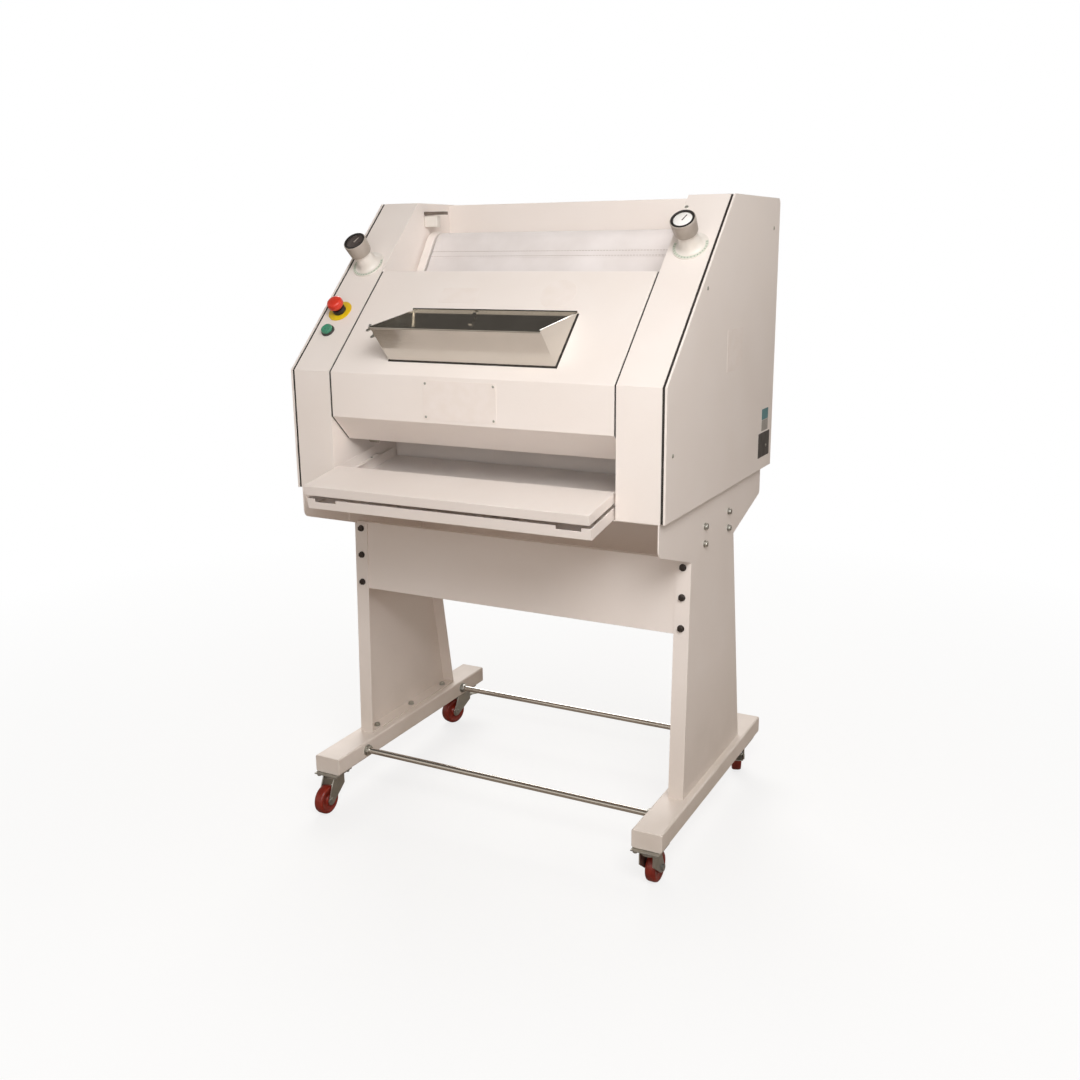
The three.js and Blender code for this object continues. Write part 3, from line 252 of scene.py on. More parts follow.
mouldedUsual = {"vary": (-0.05, 0.08), "cloud": 0.03, "texture": 0.0012, "depth": 0.00004, "relief": 0.4}
mouldedLooks = {
    "polyurethaneCast": {"colour": "#8E2A1A", "shade": "#701A0E", "roughness": 0.34, "ior": 1.5, "cloud": 0.02},
    "nitrileExtruded": {"colour": "#2A2623", "shade": "#35302C", "roughness": 0.68, "ior": 1.5,
                        "texture": 0.002},
    "absYellow": {"colour": "#EAC81C", "shade": "#E0B914", "roughness": 0.36, "ior": 1.53},
    "absRed": {"colour": "#E2402C", "shade": "#D63421", "roughness": 0.32, "ior": 1.53},
    "absBlack": {"colour": "#201D1B", "shade": "#2B2725", "roughness": 0.42, "ior": 1.53},
    "polycarbonateGreen": {"colour": "#4E9A7C", "shade": "#3D8669", "roughness": 0.28, "ior": 1.58},
    "nylonGrey": {"colour": "#B9AFA6", "shade": "#AFA498", "roughness": 0.42, "ior": 1.53, "texture": 0.0018},
    "nylonPale": {"colour": "#ECE6DF", "shade": "#E4DCD3", "roughness": 0.38, "ior": 1.53},
    "dialFaceWhite": {"colour": "#FBF9F6", "shade": "#F4F1EC", "roughness": 0.3, "ior": 1.5},
    "dialFaceDark": {"colour": "#5C5350", "shade": "#4C4442", "roughness": 0.24, "ior": 1.5},
    "actuatorGrey": {"colour": "#7A6D62", "shade": "#6A5E54", "roughness": 0.45, "ior": 1.53},
    "printedScale": {"colour": "#D3D7C9", "shade": "#C9CFC0", "roughness": 0.45, "ior": 1.5},
    "vinylPale": {"colour": "#F3E9E3", "shade": "#EFE4DC", "roughness": 0.5, "ior": 1.46},
    "vinylGrey": {"colour": "#A9A49F", "shade": "#9E9892", "roughness": 0.45, "ior": 1.46},
    "vinylTeal": {"colour": "#5F8D92", "shade": "#547F84", "roughness": 0.42, "ior": 1.46},
    "anodisedDark": {"colour": "#4A4644", "shade": "#3F3B39", "roughness": 0.4, "ior": 1.5},
    "blackOxide": {"colour": "#3A3431", "shade": "#4A423D", "roughness": 0.42, "metallic": 0.7, "ior": 1.5},
    "sewingThread": {"colour": "#CFC4BE", "shade": "#C0B4AE", "roughness": 0.9, "ior": 1.46,
                     "texture": 0.001},
}

# Hammer-finish enamel on a cast motor frame: shallow dimples about 3 mm wide
enamelLook = {"colour": "#5D6468", "shade": "#50575B", "roughness": 0.38, "ior": 1.5, "texture": 0.003,
              "depth": 0.0004}

# Needled wool felt on a woven backing: no gloss, a soft halo, cross threads about 2.5 mm apart, drawn coarse
feltLook = {"colour": "#F3ECEA", "shade": "#E9E1DE", "roughness": 0.95, "ior": 1.46, "thread": 0.0025,
            "bandsToThread": 0.314, "waver": 1.5, "sheen": 0.25, "sheenRoughness": 0.5, "fuzz": 0.004,
            "cloud": 0.09, "depth": 0.0004, "relief": 0.5}


def makeFelt():
    look = feltLook
    material, tree, shader, place = startMaterial("woolFeltWoven", look)
    shader.inputs["Sheen Weight"].default_value = look["sheen"]
    shader.inputs["Sheen Roughness"].default_value = look["sheenRoughness"]
    wave = {"wave_type": "BANDS", "Scale": look["bandsToThread"] / look["thread"],
            "Distortion": look["waver"], "Detail": 2}
    bands = [addNode(tree, "ShaderNodeTexWave", {**wave, "bands_direction": way}, {"Vector": place}).outputs["Fac"]
             for way in ("X", "Z")]
    weave = combine(tree, "MAXIMUM", *bands)
    fuzz = grain(tree, place, look["fuzz"], 5)
    cloud = grain(tree, place, look["cloud"], 3)
    colour = mixColours(tree, spread(tree, cloud, 0, 1), look["colour"], look["shade"])
    tree.links.new(colour, shader.inputs["Base Color"])
    relief(tree, shader, combine(tree, "ADD", weave, fuzz), look)
    return material


finishes = {name: makeMoulded(name, look) for name, look in mouldedLooks.items()}
finishes.update({
    "powderCoat": makePowderCoat(), "stainless": makeStainless(), "brightSteel": makeBrightSteel(),
    "zinc": makeZinc(), "felt": makeFelt(), "motorEnamel": makeMoulded("motorEnamelHammered", enamelLook),
})
finishOfSlot = {
    "powder_coat": "powderCoat", "bright_steel": "brightSteel", "stainless": "stainless", "zinc_steel": "zinc",
    "wheel_tread": "polyurethaneCast", "black_rubber": "nitrileExtruded", "felt": "felt",
    "motor_paint": "motorEnamel", "collar_plastic": "nylonPale", "knob_plastic": "nylonGrey",
    "yellow_plastic": "absYellow", "red_plastic": "absRed", "green_plastic": "polycarbonateGreen",
    "black_plastic": "absBlack",
}
slotOfFinish = {finish: slotName for slotName, finish in finishOfSlot.items()}
slotOfFinish.update({
    "dialFaceWhite": "collar_plastic", "dialFaceDark": "knob_plastic", "printedScale": "collar_plastic",
    "vinylPale": "collar_plastic", "vinylTeal": "knob_plastic", "vinylGrey": "knob_plastic",
    "anodisedDark": "black_plastic", "actuatorGrey": "black_plastic", "sewingThread": "felt",
    "blackOxide": "zinc_steel",
})
print("materials made:", len(finishes))


# Modelling helpers
mergeGap = {"drawn": 1e-6, "carried": 1e-5}   # metres


def deselectAll():
    if bpy.context.object and bpy.context.object.mode != "OBJECT":
        bpy.ops.object.mode_set(mode="OBJECT")
    bpy.ops.object.select_all(action="DESELECT")


def choose(piece):
    deselectAll()
    piece.hide_set(False)
    piece.select_set(True)
    bpy.context.view_layer.objects.active = piece


def applyModifiers(piece):
    choose(piece)
    for modifier in list(piece.modifiers):
        bpy.ops.object.modifier_apply(modifier=modifier.name)


def softenEdges(piece, width, segments=2, sharpest=35):
    bevel = piece.modifiers.new("edgeRadius", "BEVEL")
    bevel.width = width * mm
    bevel.segments = segments
    bevel.limit_method = "ANGLE"
    bevel.angle_limit = math.radians(sharpest)
    bevel.miter_outer = "MITER_ARC"
    even = piece.modifiers.new("evenShading", "WEIGHTED_NORMAL")
    even.keep_sharp = True
    applyModifiers(piece)


def place(piece, name, body, finishName, turn=None, smooth=38):   # its place, shading, material and body
    choose(piece)
    bpy.ops.object.transform_apply(location=True, rotation=True, scale=True)
    if turn is not None:
        piece.data.transform(turn)
    bpy.ops.object.shade_smooth_by_angle(angle=math.radians(smooth))
    piece.name = name
    piece.data.name = name
    piece.data.materials.clear()
    piece.data.materials.append(finishes[finishName])
    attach(piece, body)
    return piece


def drawPath(points):   # a primitive shrunk to a point, then drawn on from point to point, in millimetres
    deselectAll()
    bpy.ops.mesh.primitive_plane_add(size=mm)
    piece = bpy.context.object
    bpy.ops.object.mode_set(mode="EDIT")
    bpy.ops.mesh.select_mode(type="VERT")
    bpy.ops.mesh.merge(type="CENTER")
    bpy.ops.transform.translate(value=Vector(points[0]) * mm)
    for before, after in zip(points, points[1:]):
        step = (Vector(after) - Vector(before)) * mm
        bpy.ops.mesh.extrude_region_move(TRANSFORM_OT_translate={"value": step})
    return piece


def closeUp():
    bpy.ops.mesh.select_all(action="SELECT")
    bpy.ops.mesh.remove_doubles(threshold=mergeGap["drawn"])
    bpy.ops.mesh.normals_make_consistent(inside=False)
    bpy.ops.object.mode_set(mode="OBJECT")


def turnShape(profile, steps=64, degrees=360):   # [radius, height] pairs spun about Z
    piece = drawPath([(radius, 0, height) for radius, height in profile])
    bpy.ops.mesh.select_all(action="SELECT")
    bpy.ops.mesh.spin(steps=steps, angle=math.radians(degrees), center=(0, 0, 0), axis=(0, 0, 1))
    closeUp()
    return piece


def plateShape(outline, thick, across="Z"):   # a closed outline pushed out by its thickness
    lift = {"X": (thick, 0, 0), "Z": (0, 0, thick)}[across]
    points = [(0, *point) if across == "X" else (*point, 0) for point in outline]
    piece = drawPath([*points, points[0]])
    bpy.ops.mesh.select_all(action="SELECT")
    bpy.ops.mesh.remove_doubles(threshold=mergeGap["drawn"])
    bpy.ops.mesh.select_all(action="SELECT")
    bpy.ops.mesh.edge_face_add()
    bpy.ops.mesh.extrude_region_move(TRANSFORM_OT_translate={"value": Vector(lift) * mm})
    closeUp()
    return piece


def arcPoints(centre, radius, start, end, steps):
    for i in range(steps + 1):
        turn = math.radians(start + (end - start) * i / steps)
        yield (centre[0] + radius * math.cos(turn), centre[1] + radius * math.sin(turn))


def roundedOutline(width, height, radius, steps=5):
    u, v = width / 2 - radius, height / 2 - radius
    centres = [(u, v), (-u, v), (-u, -v), (u, -v)]
    return [point for i, centre in enumerate(centres)
            for point in arcPoints(centre, radius, 90 * i, 90 * (i + 1), steps)]


def another(piece, name, turn, body, finishName):   # a copy with its own mesh
    copy = bpy.data.objects.new(name, piece.data.copy())
    bpy.context.scene.collection.objects.link(copy)
    return place(copy, name, body, finishName, turn)


def discard(piece):
    bpy.data.objects.remove(piece, do_unlink=True)


def cutAway(piece, cutter):
    cut = piece.modifiers.new("cutAway", "BOOLEAN")
    cut.operation = "DIFFERENCE"
    cut.solver = "EXACT"
    cut.object = cutter
    applyModifiers(piece)
    discard(cutter)


def makeBlock(low, high):   # a cutter between two corners in millimetres
    deselectAll()
    middle = [(a + b) / 2 * mm for a, b in zip(low, high)]
    bpy.ops.mesh.primitive_cube_add(size=1, location=middle)
    block = bpy.context.object
    block.scale = [(b - a) * mm for a, b in zip(low, high)]
    bpy.ops.object.transform_apply(location=True, rotation=True, scale=True)
    return block


# Carried-over nodes: a merged copy with its folds and cut edges rounded, in the finish of its slot
edgeRadius = {   # millimetres; the rest take the usual one
    "usual": 0.7, "left_foot": 1.6, "right_foot": 1.6, "left_cabinet": 0.8, "right_cabinet": 0.8,
    "left_side_panel": 0.8, "right_side_panel": 0.8, "left_panel_seal": 0.9, "right_panel_seal": 0.9,
    "front_cover": 1.2, "infeed_hopper": 0.3, "outfeed_tray": 0.8, "crumb_tray": 0.8,
    "drive_motor": 1.5, "upper_wing_screw": 0.4, "lower_wing_screw": 0.4, "roller_carriage": 1.0,
    "rear_scraper": 0.5, "pressure_board": 0.5, "drive_belt": 1.0,
}
dressedNodes = [
    "left_foot", "right_foot", "left_leg", "right_leg", "front_apron", "rear_apron", "base_pan",
    "left_cabinet", "right_cabinet", "left_panel_seal", "right_panel_seal", "left_side_panel",
    "right_side_panel", "front_cover", "infeed_hopper", "upper_wing_screw",
    "lower_wing_screw", "outfeed_tray", "crumb_tray", "left_belt_side", "right_belt_side",
    "roller_carriage", "rear_scraper", "pressure_board", "drive_motor", "motor_pulley", "drive_pulley",
    "drive_belt",
    *[f"{corner}_{part}" for corner in ("left_front", "right_front", "left_rear", "right_rear")
      for part in ("caster_plate", "caster_fork")],
    "left_rear_brake_pedal", "right_rear_brake_pedal",
]
flatWithin = 0.4   # degrees between faces that are one face


# The photograph shows no wall at the crumb tray's back, and a broad finger behind the hopper's throat
crumbTray = {"at": (0, -440, 877.5), "slope": 10, "half": 363, "floor": -22.95, "top": 20, "wall": (360, 374)}
fin = {"x": -66, "reach": 2, "ends": (120, 176), "foot": 1, "middle": 10}   # the carried-over one
finger = {"x": -44, "half": 5, "ends": (155, 190), "height": 5.3}


def openBack(piece):
    (start, end), half = crumbTray["wall"], crumbTray["half"]
    block = makeBlock((-half, start, crumbTray["floor"]), (half, end, crumbTray["top"]))
    turn = Matrix.Rotation(math.radians(crumbTray["slope"]), 4, "X")
    block.data.transform(Matrix.Translation(Vector(crumbTray["at"]) * mm) @ turn)
    cutAway(piece, block)


def widenFinger(piece):
    upward = Vector((0, math.cos(slopeAngle), math.sin(slopeAngle)))
    outward = Vector((0, -math.sin(slopeAngle), math.cos(slopeAngle)))
    low, high = fin["ends"]
    for vertex in piece.data.vertices:
        offset = (vertex.co - slopePoint(0, 0)) / mm
        aside, up, height = offset.x - fin["x"], offset.dot(upward), offset.dot(outward)
        if abs(aside) < fin["reach"] and low < up < high and height > fin["foot"]:
            x = finger["x"] + math.copysign(finger["half"], aside)
            end = finger["ends"][up > (low + high) / 2]
            vertex.co = slopePoint(x, end, finger["height"] if height > fin["middle"] else height)


motorShaft = {"within": 11, "share": 0.95}


def slimShaft(piece):   # so that it turns free of its bore's facets
    points = [vertex.co for vertex in piece.data.vertices]
    y, z = [(min(p[i] for p in points) + max(p[i] for p in points)) / 2 for i in (1, 2)]
    for point in points:
        if math.hypot(point.y - y, point.z - z) < motorShaft["within"] * mm:
            point.y = y + (point.y - y) * motorShaft["share"]
            point.z = z + (point.z - z) * motorShaft["share"]


reshaped = {"crumb_tray": openBack, "infeed_hopper": widenFinger, "motor_pulley": slimShaft}


def dressNode(node):
    piece = bpy.data.objects.new(f"{node}_finished", cadNodes[node].data.copy())
    bpy.context.scene.collection.objects.link(piece)
    choose(piece)
    bpy.ops.object.mode_set(mode="EDIT")
    bpy.ops.mesh.select_all(action="SELECT")
    bpy.ops.mesh.remove_doubles(threshold=mergeGap["carried"])
    bpy.ops.mesh.dissolve_limited(angle_limit=math.radians(flatWithin))
    bpy.ops.object.mode_set(mode="OBJECT")
    bpy.ops.mesh.customdata_custom_splitnormals_clear()
    if node in reshaped:
        reshaped[node](piece)
    place(piece, f"{node}_finished", bodyOf[node], finishOfSlot[slotOf[node]])
    softenEdges(piece, edgeRadius.get(node, edgeRadius["usual"]))
    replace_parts(piece, node)


for node in dressedNodes:
    dressNode(node)

# Rear cover: one folded sheet, its front wall where the photograph's recess ends
rearCover = {"front": 236, "back": 448, "top": 1551, "wallEnd": 1400, "foot": 875, "bend": 14, "steps": 6,
             "sheet": 2, "half": 369.3, "edge": 0.8}


def foldedOutline(cover):
    front, back, top, sheet, bend = (cover[key] for key in ("front", "back", "top", "sheet", "bend"))
    centre = (back - bend, top - bend)
    return [(front, cover["wallEnd"]), (front, top), *arcPoints(centre, bend, 90, 0, cover["steps"]),
            (back, cover["foot"]), (back - sheet, cover["foot"]),
            *arcPoints(centre, bend - sheet, 0, 90, cover["steps"]),
            (front + sheet, top - sheet), (front + sheet, cover["wallEnd"])]


coverSheet = plateShape(foldedOutline(rearCover), 2 * rearCover["half"], "X")
place(coverSheet, "rear_cover_folded", "frame", "powderCoat",
      Matrix.Translation((-rearCover["half"] * mm, 0, 0)))
softenEdges(coverSheet, rearCover["edge"])
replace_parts(coverSheet, "rear_cover")
print("sheet metal dressed:", len(dressedNodes))


# Wheels: cast polyurethane on its hub
wheel = {"bore": 6.3, "steps": 72}
wheelProfile = [
    (wheel["bore"], -14), (12.4, -14), (13.6, -13.2), (15.4, -11), (26.6, -11), (28.4, -12.4), (31, -12.8),
    (34.2, -12.4), (36, -11), (37, -8.6), (37.5, -5), (37.5, 5), (37, 8.6), (36, 11), (34.2, 12.4),
    (31, 12.8), (28.4, 12.4), (26.6, 11), (15.4, 11), (13.6, 13.2), (12.4, 14), (wheel["bore"], 14),
    (wheel["bore"], -14),
]
wheelPlaces = {   # centre in millimetres and the turn of the caster about Z
    "left_front": ((-449.5, -332, 37.5), 0), "right_front": ((449.5, -262, 37.5), 180),
    "left_rear": ((-459.733, 323.529, 37.5), -17), "right_rear": ((437.529, 389.889, 37.5), 200),
}
wheelShape = turnShape(wheelProfile, wheel["steps"])
for corner, (centre, turned) in wheelPlaces.items():
    turn = Matrix.Translation(Vector(centre) * mm) @ Matrix.Rotation(math.radians(turned), 4, "Z") @ rightTurn
    piece = another(wheelShape, f"{corner}_wheel_cast", turn, f"{corner}_wheel", "polyurethaneCast")
    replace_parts(piece, f"{corner}_caster_wheel")
discard(wheelShape)
print("wheels cast")


# Adjusting knobs: turned nylon body, a black rim ring and a dial under it, on a graduated collar
knobs = {
    "left": {"x": -420.8, "up": 349, "face": "dialFaceDark", "mark": "nylonGrey"},
    "right": {"x": 420.8, "up": 403, "face": "dialFaceWhite", "mark": "dialFaceDark"},
}
offFace = 0.3   # collars and buttons stand this far off the sheet
dial = {"steps": 72, "smooth": 32, "markHeight": 78, "markTurn": -24, "markThick": 0.4,
        "mark": [(-1.5, -3), (1.5, -3), (1.1, 14), (0, 16), (-1.1, 14)]}
knobBody = [
    (0, -14), (6, -14), (6, 42), (25.2, 42), (26.4, 42.6), (27.2, 44), (29, 72), (29.2, 77), (28.7, 79),
    (27.4, 79.8), (22, 79.8), (21.4, 77), (0, 77),
]
knobRing = [(21.5, 77.2), (27.4, 79.6), (27.1, 80.3), (25.8, 80.8), (23, 80.8), (21.8, 80), (21.5, 77.2)]
dialFace = [(0, 77.05), (21.3, 77.05), (21.3, 77.8), (20.8, 78.1), (0, 78.1)]
collarBody = [
    (6.3, 0), (42, 0), (42, 1.2), (41.3, 2), (33, 2.1), (31.4, 2.6), (28.4, 4.6), (25.6, 8.6), (23.6, 14.5),
    (22.4, 24), (21.5, 41.7), (6.3, 41.7), (6.3, 0),
]
scaleArc = {"inner": 34, "outer": 40.5, "rise": 2.02, "thick": 0.25, "start": 168, "sweep": 216, "steps": 48,
            "ticks": 19, "tickFrom": 35.4, "tickTo": 39.7, "tickHalf": 0.35, "tickThick": 0.12, "margin": 6,
            "smooth": 30}

for side, knob in knobs.items():
    at = Matrix.Translation(slopePoint(knob["x"], knob["up"], offFace)) @ slopeTurn
    body = turnShape(knobBody, dial["steps"])
    place(body, f"{side}_knob_body", f"{side}_dial", "nylonGrey", at, dial["smooth"])
    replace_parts(body, f"{side}_knob")
    place(turnShape(knobRing, dial["steps"]), f"{side}_knob_ring", f"{side}_dial", "absBlack", at)
    place(turnShape(dialFace, dial["steps"]), f"{side}_knob_face", f"{side}_dial", knob["face"], at)
    pointer = plateShape(dial["mark"], dial["markThick"])
    markTurn = Matrix.Rotation(math.radians(dial["markTurn"]), 4, "Z")
    place(pointer, f"{side}_knob_pointer", f"{side}_dial", knob["mark"],
          at @ Matrix.Translation((0, 0, dial["markHeight"] * mm)) @ markTurn)
    collar = turnShape(collarBody, dial["steps"])
    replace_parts(place(collar, f"{side}_collar_turned", "frame", "nylonPale", at), f"{side}_knob_collar")
    arc = scaleArc
    low, high = arc["rise"], arc["rise"] + arc["thick"]
    band = turnShape([(arc["inner"], low), (arc["outer"], low), (arc["outer"], high), (arc["inner"], high),
                      (arc["inner"], low)], arc["steps"], arc["sweep"])
    choose(band)
    bpy.ops.object.mode_set(mode="EDIT")
    bpy.ops.mesh.select_all(action="DESELECT")
    bpy.ops.mesh.select_non_manifold()
    bpy.ops.mesh.edge_face_add()
    closeUp()
    place(band, f"{side}_scale_band", "frame", "printedScale",
          at @ Matrix.Rotation(math.radians(arc["start"] + arc["sweep"]), 4, "Z"), arc["smooth"])
    across = arc["tickHalf"]
    tick = plateShape([(arc["tickFrom"], -across), (arc["tickTo"], -across), (arc["tickTo"], across),
                       (arc["tickFrom"], across)], arc["tickThick"])
    for i in range(arc["ticks"]):
        bearing = arc["start"] + arc["margin"] + (arc["sweep"] - 2 * arc["margin"]) * i / (arc["ticks"] - 1)
        turn = at @ Matrix.Rotation(math.radians(bearing), 4, "Z") @ Matrix.Translation((0, 0, high * mm))
        another(tick, f"{side}_scale_tick_{i}", turn, "frame", "anodisedDark")
    discard(tick)
print("knobs and collars turned")


# Stop and start buttons
buttonPlaces = {"stop": (-430, 190), "start": (-434, 125)}   # across and up the slope
stopAt, startAt = [Matrix.Translation(slopePoint(*buttonPlaces[name], offFace)) @ slopeTurn
                   for name in ("stop", "start")]
stopDisc = [
    (9.3, -30), (11, -30), (11, 0), (30.6, 0), (31, 0.4), (31, 1.1), (30.4, 1.5), (9.3, 1.5), (9.3, -30),
]
stopCollar = [(9.3, 1.6), (16.2, 1.6), (16.2, 9.6), (15.6, 11.2), (14.2, 12), (9.3, 12), (9.3, 1.6)]
stopHead = [
    (0, -5), (9, -5), (9, 19.5), (10, 20.4), (16.5, 20), (18.6, 20.6), (19.8, 22.4), (20, 25), (19.8, 30),
    (19.2, 33), (17.6, 35.6), (14.6, 37.4), (9.6, 38.5), (5, 38.9), (0, 39),
]
startRing = [
    (6.3, -26), (11, -26), (11, 0), (16.6, 0), (17, 0.5), (16.6, 3.6), (15.7, 4.8), (14.5, 5), (14.3, 4.7),
    (14.3, 2), (6.3, 2), (6.3, -26),
]
startCap = [
    (0, -5), (6, -5), (6, 4.8), (13.7, 4.8), (14, 5.2), (14, 10.2), (13.4, 11.5), (12, 12), (10.4, 11.9),
    (8.6, 11.4), (0, 11),
]
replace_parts(place(turnShape(stopDisc), "stop_disc", "frame", "absYellow", stopAt), "estop_collar")
place(turnShape(stopCollar), "stop_collar_ring", "frame", "absBlack", stopAt)
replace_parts(place(turnShape(stopHead), "stop_head_moulded", "stop_head", "absRed", stopAt), "estop_head")
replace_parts(place(turnShape(startRing), "start_ring", "frame", "anodisedDark", startAt), "start_bezel")
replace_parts(place(turnShape(startCap), "start_cap_moulded", "start_cap", "polycarbonateGreen", startAt),
            "start_button")
print("buttons moulded")


# Tie rods between the feet: a drawn bar with washers and hexagon nuts at its ends. The washer's seat and
# the nut's crown are in millimetres, its inset a share of what stands outside the bore
tieRod = {"half": 412, "radius": 8, "chamfer": 1, "z": 128, "steps": 40, "washer": 1.9, "across": 22.5, "nut": 8.2}
rodPlaces = {"front_tie_rod": -194, "rear_tie_rod": 304}
radius, half, chamfer = tieRod["radius"], tieRod["half"], tieRod["chamfer"]
rodProfile = [(0, -half), (radius - chamfer, -half), (radius, chamfer - half), (radius, half - chamfer),
              (radius - chamfer, half), (0, half)]
washerProfile = [(8.05, 0), (15, 0), (15.2, 0.3), (15.2, 1.5), (14.8, 1.8), (8.05, 1.8), (8.05, 0)]
nutForm = {"inset": 0.28, "crown": 0.7, "edge": 0.35, "sharpest": 20, "upright": 0.9}


def makeNut(across, length, bore):   # a hexagon with its corners turned off
    corner = across / math.sqrt(3)
    deselectAll()
    bpy.ops.mesh.primitive_cylinder_add(vertices=6, radius=corner * mm, depth=length * mm,
                                        location=(0, 0, length / 2 * mm), end_fill_type="NGON")
    nut = bpy.context.object
    bpy.ops.object.mode_set(mode="EDIT")
    bpy.ops.mesh.select_mode(type="FACE")
    bpy.ops.mesh.select_all(action="DESELECT")
    bpy.ops.object.mode_set(mode="OBJECT")
    for face in nut.data.polygons:
        face.select = abs(face.normal.z) > nutForm["upright"]
    bpy.ops.object.mode_set(mode="EDIT")
    bpy.ops.mesh.inset(thickness=(corner - bore) * nutForm["inset"] * mm, depth=0)
    bpy.ops.transform.resize(value=(1, 1, 1 + 2 * nutForm["crown"] / length))
    bpy.ops.object.mode_set(mode="OBJECT")
    bpy.ops.object.transform_apply(location=True, rotation=True, scale=True)
    nut.data.transform(Matrix.Translation((0, 0, nutForm["edge"] * mm)))
    softenEdges(nut, nutForm["edge"], 2, nutForm["sharpest"])
    return nut


nutShape = makeNut(tieRod["across"], tieRod["nut"], tieRod["radius"])
washerShape = turnShape(washerProfile, tieRod["steps"])
for node, y in rodPlaces.items():
    middle = Matrix.Translation(Vector((0, y, tieRod["z"])) * mm)
    rod = place(turnShape(rodProfile, tieRod["steps"]), f"{node}_bar", "frame", "stainless", middle @ rightTurn)
    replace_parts(rod, node)
    for way, label in ((-1, "left"), (1, "right")):
        inward = leftTurn if way > 0 else rightTurn
        end = middle @ Matrix.Translation((way * tieRod["half"] * mm, 0, 0)) @ inward
        another(washerShape, f"{node}_{label}_washer", end, "frame", "zinc")
        outer = end @ Matrix.Translation((0, 0, tieRod["washer"] * mm))
        another(nutShape, f"{node}_{label}_nut", outer, "frame", "zinc")
discard(nutShape)
discard(washerShape)
print("tie rods drawn")


# Rollers: turned tubes on stub shafts
rollers = {   # half length, radius, shaft from and to, place, body and finish
    "belt_top_roller": (338, 38, -369.3, 369.3, (148, 1436), "top_roller", "zinc"),
    "belt_drive_roller": (338, 38, -369.3, 418, (-130, 1030), "drive_roller", "zinc"),
    "rear_sheeting_roller": (347, 32, -383.3, 383.3, (-190, 1112), "rear_roller", "brightSteel"),
    "front_sheeting_roller": (347, 32, -358, 358, (-262, 1118), "front_roller", "brightSteel"),
}
stub, chamfer, rim = 12, 1, 1.5   # the shaft's radius, its chamfer and the roller's own
for node, (half, radius, start, end, (y, z), body, finishName) in rollers.items():
    profile = [
        (0, start), (stub - chamfer, start), (stub, start + chamfer), (stub, -half), (radius - rim, -half),
        (radius, rim - half), (radius, half - rim), (radius - rim, half), (stub, half), (stub, end - chamfer),
        (stub - chamfer, end), (0, end),
    ]
    roller = place(turnShape(profile), f"{node}_turned", body, finishName,
                   Matrix.Translation(Vector((0, y, z)) * mm) @ rightTurn)
    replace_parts(roller, node)
print("rollers turned")


# Felt belt: one endless band over its two rollers, with a sewn splice across its front run
feltBelt = {"half": 335, "top": (148, 1436), "low": (-130, 1030), "radius": 38.3, "thick": 3.7, "steps": 24,
            "edge": 0.9, "smooth": 50}


def loopAround(first, second, radius, steps):
    bearing = math.degrees(math.atan2(second[1] - first[1], second[0] - first[0]))
    yield from arcPoints(first, radius, bearing + 90, bearing + 270, steps)
    yield from arcPoints(second, radius, bearing - 90, bearing + 90, steps)


# The side plates stand off the walls on a narrower spacer
spacer = {"outer": 52, "inner": 31, "length": 10, "over": 1, "steps": 16, "from": {"left": -372.6, "right": 362.6}}
for side, start in spacer["from"].items():
    outlines = [list(loopAround(feltBelt["top"], feltBelt["low"], spacer[edge], spacer["steps"]))
                for edge in ("outer", "inner")]
    ring = plateShape(outlines[0], spacer["length"], "X")
    core = plateShape(outlines[1], spacer["length"] + 2 * spacer["over"], "X")
    core.data.transform(Matrix.Translation((-spacer["over"] * mm, 0, 0)))
    cutAway(ring, core)
    ring.data.transform(Matrix.Translation((start * mm, 0, 0)))
    cutAway(bpy.data.objects[f"{side}_belt_side_finished"], ring)

outside = feltBelt["radius"] + feltBelt["thick"]
outer = list(loopAround(feltBelt["top"], feltBelt["low"], outside, feltBelt["steps"]))
band = drawPath([(0, *point) for point in [*outer, outer[0]]])
bpy.ops.mesh.select_all(action="SELECT")
bpy.ops.mesh.extrude_region_move(TRANSFORM_OT_translate={"value": (2 * feltBelt["half"] * mm, 0, 0)})
closeUp()
wall = band.modifiers.new("feltThickness", "SOLIDIFY")
wall.thickness = feltBelt["thick"] * mm
wall.offset = -1
applyModifiers(band)
softenEdges(band, feltBelt["edge"], 2, feltBelt["smooth"])
place(band, "felt_belt_woven", bodyOf["felt_belt"], "felt",
      Matrix.Translation((-feltBelt["half"] * mm, 0, 0)), feltBelt["smooth"])
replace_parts(band, "felt_belt")

splice = {"height": 1424.5, "width": 24, "half": 334, "corner": 2, "rise": 0.8, "sunk": 0.3, "edge": 0.4,
          "rows": 2, "apart": 14, "pitch": 8.1, "stitches": 82, "first": 3}
stitch = {"profile": [(0, -3), (0.5, -2.8), (0.75, -2), (0.75, 2), (0.5, 2.8), (0, 3)], "steps": 8}
run = Vector([high - low for high, low in zip(feltBelt["top"], feltBelt["low"])])
runTurn = math.atan2(run.y, run.x)
frontTopY = feltBelt["top"][0] - outside * math.sin(runTurn)
frontTopZ = feltBelt["top"][1] + outside * math.cos(runTurn)
spliceY = frontTopY - (frontTopZ - splice["height"]) / math.tan(runTurn)
spliceAt = Matrix.Translation(Vector((0, spliceY, splice["height"])) * mm) @ Matrix.Rotation(runTurn, 4, "X")
lapOutline = roundedOutline(2 * splice["half"], splice["width"], splice["corner"])
lap = plateShape(lapOutline, splice["rise"] + splice["sunk"])
softenEdges(lap, splice["edge"])
place(lap, "felt_belt_lap", bodyOf["felt_belt"], "felt",
      spliceAt @ Matrix.Translation((0, 0, -splice["sunk"] * mm)), feltBelt["smooth"])
stitches = turnShape(stitch["profile"], stitch["steps"])
firstAt = Vector((splice["first"] - splice["half"], -splice["apart"] / 2, splice["rise"])) * mm
